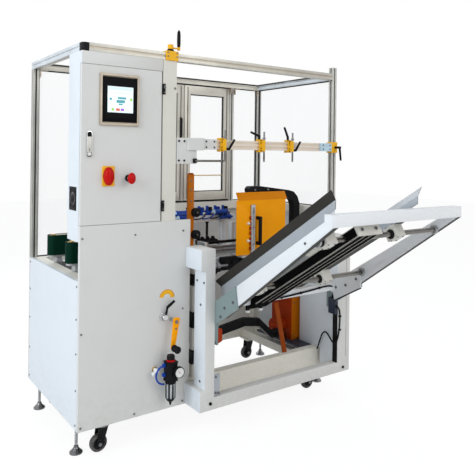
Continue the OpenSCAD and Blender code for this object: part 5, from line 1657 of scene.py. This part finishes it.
def makeCabling(k):
    parts = [makeBlock("plugBox", *k["box"], "deckBlue", 3, 3,
        framed=(lambda c, n: n.x < -0.9 or n.y < -0.9, 5, -1.5))]
    rings = [(9, 0), (9, 10), (6, 12), (6, 20)]
    parts.append(turnedPiece("plugGland", (1509, -150, 545), toFront, [(9, 0), (9, 4), (6, 5), (6, 9)],
        "blackPlastic", 20))
    parts.append(turnedPiece("plugGland", (1509, -120, 590), upward, rings, "blackPlastic", 20))
    down = [(1509, -156, 545), (1522, -160, 535), (1532, -157, 500), (1533, -156, 461), (1528, -156, 400),
        (1515, -156, 350)]
    down += [(1502, -150, 326), (1498, -128, 330), (1498, -100, 362), (1498, -74, 382),
        (1498, -46, 366), (1498, -30, 330)]
    down += [(1496, -18, 290), (1494, -6, 258)]
    parts.append(tubeAlong("plugCable", down, 4.5, "blackPlastic"))
    along = [(1509, -120, 606), (1500, -134, 640), (1476, -160, 668), (1430, -174, 682), (1384, -176, 684),
        (1300, -176, 676)]
    along += [(1200, -176, 669), (1100, -176, 664), (1000, -175, 662)]
    parts.append(tubeAlong("railCable", along, 5, "blackPlastic"))
    for x, z in ((1060, 663), (1200, 669), (1340, 680)):
        parts.append(makeBlock("railClip", (x, x + 7), (-182, -168), around(z, 7), "blackPlastic", 2))
    parts.append(makeBlock("postStrip", (1511, 1520.4), (-149, -118), (212, 500), "blackPlastic", 1.5,
        framed=(facesLeft, 3, -1)))
    for z in (400, 480):
        parts.append(makeBlock("cableClip", (1524, 1540), (-162, -149.6), (z, z + 10), "blackPlastic", 2))
    finishPiece(joinAll("trayCabling", parts), "machine_body", 45)


makeCabling(cabling)

footBracket = {"x": 650, "y": -100, "z": 212}


def makeFootBracket(f):
    base = startBlock("footBracket", (f["x"], f["x"] + 42), (f["y"] - 50, f["y"] - 2), (f["z"], f["z"] + 8))
    leg = makeBlock("footLeg", (f["x"], f["x"] + 34), (f["y"] - 50, f["y"] - 42), (f["z"], f["z"] + 112), "wallGrey",
        1.5, framed=(facesFront, 5, -2))
    parts = [tint(roundOff(base, 1.5), "wallGrey"), leg]
    parts += [screwAt((f["x"] + x, f["y"] - 50, f["z"] + z), toFront, 6.5) for x, z in ((8, 100), (8, 20), (26, 16))]
    finishPiece(joinAll("footBracket", parts), "machine_body")


makeFootBracket(footBracket)
postScrews = [(1567, -150, 176), (627, -150, 184)]
screwSet("magazineScrews", postScrews, toFront, 8.5, finish="blackPlastic")
postSide = [(592, -136, 791), (592, -71, 793), (592, -107, 676), (592, -107, 291)]
screwSet("postSideScrews", postSide, toLeft, 6)
seam = grooveStrip((1589.4, 1591.2), (-150.5, -149), (236, 955), "screwSteel")  # joint down the right post
finishPiece(seam, "machine_body")

hanger = {"x": (660, 672), "y": (-150, -122), "z": (470, 600)}


def makeHanger(h):
    parts = [makeBlock("hangPlate", h["x"], h["y"], h["z"], "plateTeal", 1.5, framed=(facesRight, 4, -2))]
    tab = startBlock("hangTab", (h["x"][1] - 2, h["x"][1] + 22), (-152, -138), (478, 556))
    pinch(tab, facesRight, (1, 1, 0.8))
    parts.append(tint(roundOff(tab, 2), "rustRed"))
    finishPiece(joinAll("hangPlate", parts), "machine_body")


makeHanger(hanger)

footFit = {"x": (36, 1604), "y": (112, 696), "pitch": 5.4}


def makeFootFit(f):
    x, y = f["x"][0], f["y"][0]
    rings = [(31.4, 0.2), (31.4, 6), (29, 8.5), (14, 23), (12, 30), (10, 35), (7.4, 36)]
    parts = [turnedPiece("footPad", (x, y, 0), upward, rings, "darkChrome", 40)]
    rings = [(13.4, 119), (15, 120.5), (15, 131.5), (13.4, 133)]
    parts.append(turnedPiece("footNut", (x, y, 0), upward, rings, "screwSteel", 6))
    thread = turnedPiece("footThread", (x, y, 40), upward, [(7.1, 0), (7.9, 1.3), (7.1, 2.6)], "plainSteel", 16)
    parts += [thread] + [copyPiece(thread, (0, 0, f["pitch"] * i)) for i in range(1, 14)]
    foot = joinAll("footFittings", parts)
    others = [(px, py) for px in f["x"] for py in f["y"]][1:]
    feet = [foot] + [copyPiece(foot, (px - x, py - y, 0)) for px, py in others]
    finishPiece(joinAll("footFittings", feet), "machine_body", 40)


makeFootFit(footFit)

caster = {"x": (146, 1494), "y": (62, 690), "trail": 20, "axle": 44,
    "names": (("front_left", "front_right"), ("back_left", "back_right"))}


def makeCasters(k):  # one set of fittings, copied to each caster
    x, y = k["x"][0], k["y"][0]
    hub = (x - k["trail"], y, k["axle"])
    rings = [(38.6, 0), (41.4, 4), (42.4, 9), (42.4, 16), (41.4, 21), (38.6, 24.8)]
    tread = [turnedPiece("wheelTread", (hub[0], y - 12.4, hub[2]), toBack, rings, "wheelRubber", 48)]
    rings = [(34, 0), (34, 5), (31, 7), (31, 12.3)]
    swivel = [turnedPiece("swivelRing", (x, y, 124.5), upward, rings, "screwSteel", 40)]
    for way in (-1, 1):
        rings = [(30, 0), (28, 4), (14, 4.4), (12, 7)]
        tread.append(turnedPiece("wheelDisc", (hub[0], y + way * 9.2, hub[2]), (0, way, 0), rings,
            "blackPlastic", 36))
        rings = [(9, 0), (9, 6), (5, 7), (5, 9)]
        swivel.append(turnedPiece("axleNut", (hub[0], y + way * 24, hub[2]), (0, way, 0), rings, "screwSteel", 6))
    tread, swivel = joinAll("wheelTread", tread), joinAll("swivelRing", swivel)
    for row, py in zip(k["names"], k["y"]):
        for name, px in zip(row, k["x"]):
            move = (px - x, py - y, 0)
            finishPiece(copyPiece(tread, move, name + "_tread"), name + "_roller", 35)
            finishPiece(copyPiece(swivel, move, name + "_swivelRing"), name + "_caster", 35)
    for piece in (tread, swivel):
        bpy.data.objects.remove(piece)


makeCasters(caster)
for casterName in casterNames:
    softenEdges(1.2, casterName + "_fork", casterName + "_wheel")
print("lower parts dressed")


# plain sides: panel screws, door lines and vents on the back and right
sideScrews = {"left": (30, 770), "z": (170, 330, 500, 660, 812)}
screwSet("leftPanelScrews", [(0, y, z) for y in sideScrews["left"] for z in sideScrews["z"]], toLeft, 4.6)
screwSet("rightPanelScrews", [(1640, y, z) for y in (30, 400, 765) for z in (172, 640, 1085)], toRight, 4.6)
backRow = [(x, 800, z) for x in (20, 300, 575) for z in (172, 500, 812)]
backRow += [(x, 800, z) for x in (610, 980, 1300, 1620) for z in (172, 640, 1085)]
screwSet("backPanelScrews", backRow, toBack, 4.6)

lockRings = [(14, 0), (14, 3), (11, 5), (4, 5), (4, 2)]
backHatch = {"x": (720, 1220), "z": (260, 980), "y": 800, "lock": lockRings}


def makeBackHatch(h):
    parts = [makeBlock("backHatch", h["x"], (h["y"] - 2, h["y"] + 4), h["z"], "bodyPaint", 1.6,
        framed=(facesBack, 22, -1.5))]
    vent = startBlock("ventSlat", within(h["x"], 120), (h["y"] + 1, h["y"] + 5), (330, 340))
    drawOut(vent, facesBack, (0, 3, -6))
    tint(roundOff(vent, 1.2), "bodyPaint")
    parts += [copyPiece(vent, (0, 0, 24 * i)) for i in range(9)]
    bpy.data.objects.remove(vent)
    for x in within(h["x"], 40):
        parts.append(turnedPiece("hatchLock", (x, h["y"] + 2, 620), toBack, h["lock"], "chrome"))
    finishPiece(joinAll("backHatch", parts), "machine_body")


makeBackHatch(backHatch)

sideHatch = {"y": (150, 620), "z": (300, 900), "x": 1640, "lock": lockRings}


def makeSideHatch(h):
    parts = [makeBlock("sideHatch", (h["x"] - 2, h["x"] + 4), h["y"], h["z"], "coolLitPaint", 1.6,
        framed=(facesRight, 22, -1.5))]
    for z in within(h["z"], 60):
        parts.append(turnedPiece("hatchLock", (h["x"] + 2, h["y"][0] + 40, z), toRight, h["lock"], "chrome"))
    finishPiece(joinAll("sideHatch", parts), "machine_body")


makeSideHatch(sideHatch)
print("plain sides dressed")

bpy.data.objects.remove(screwModel)
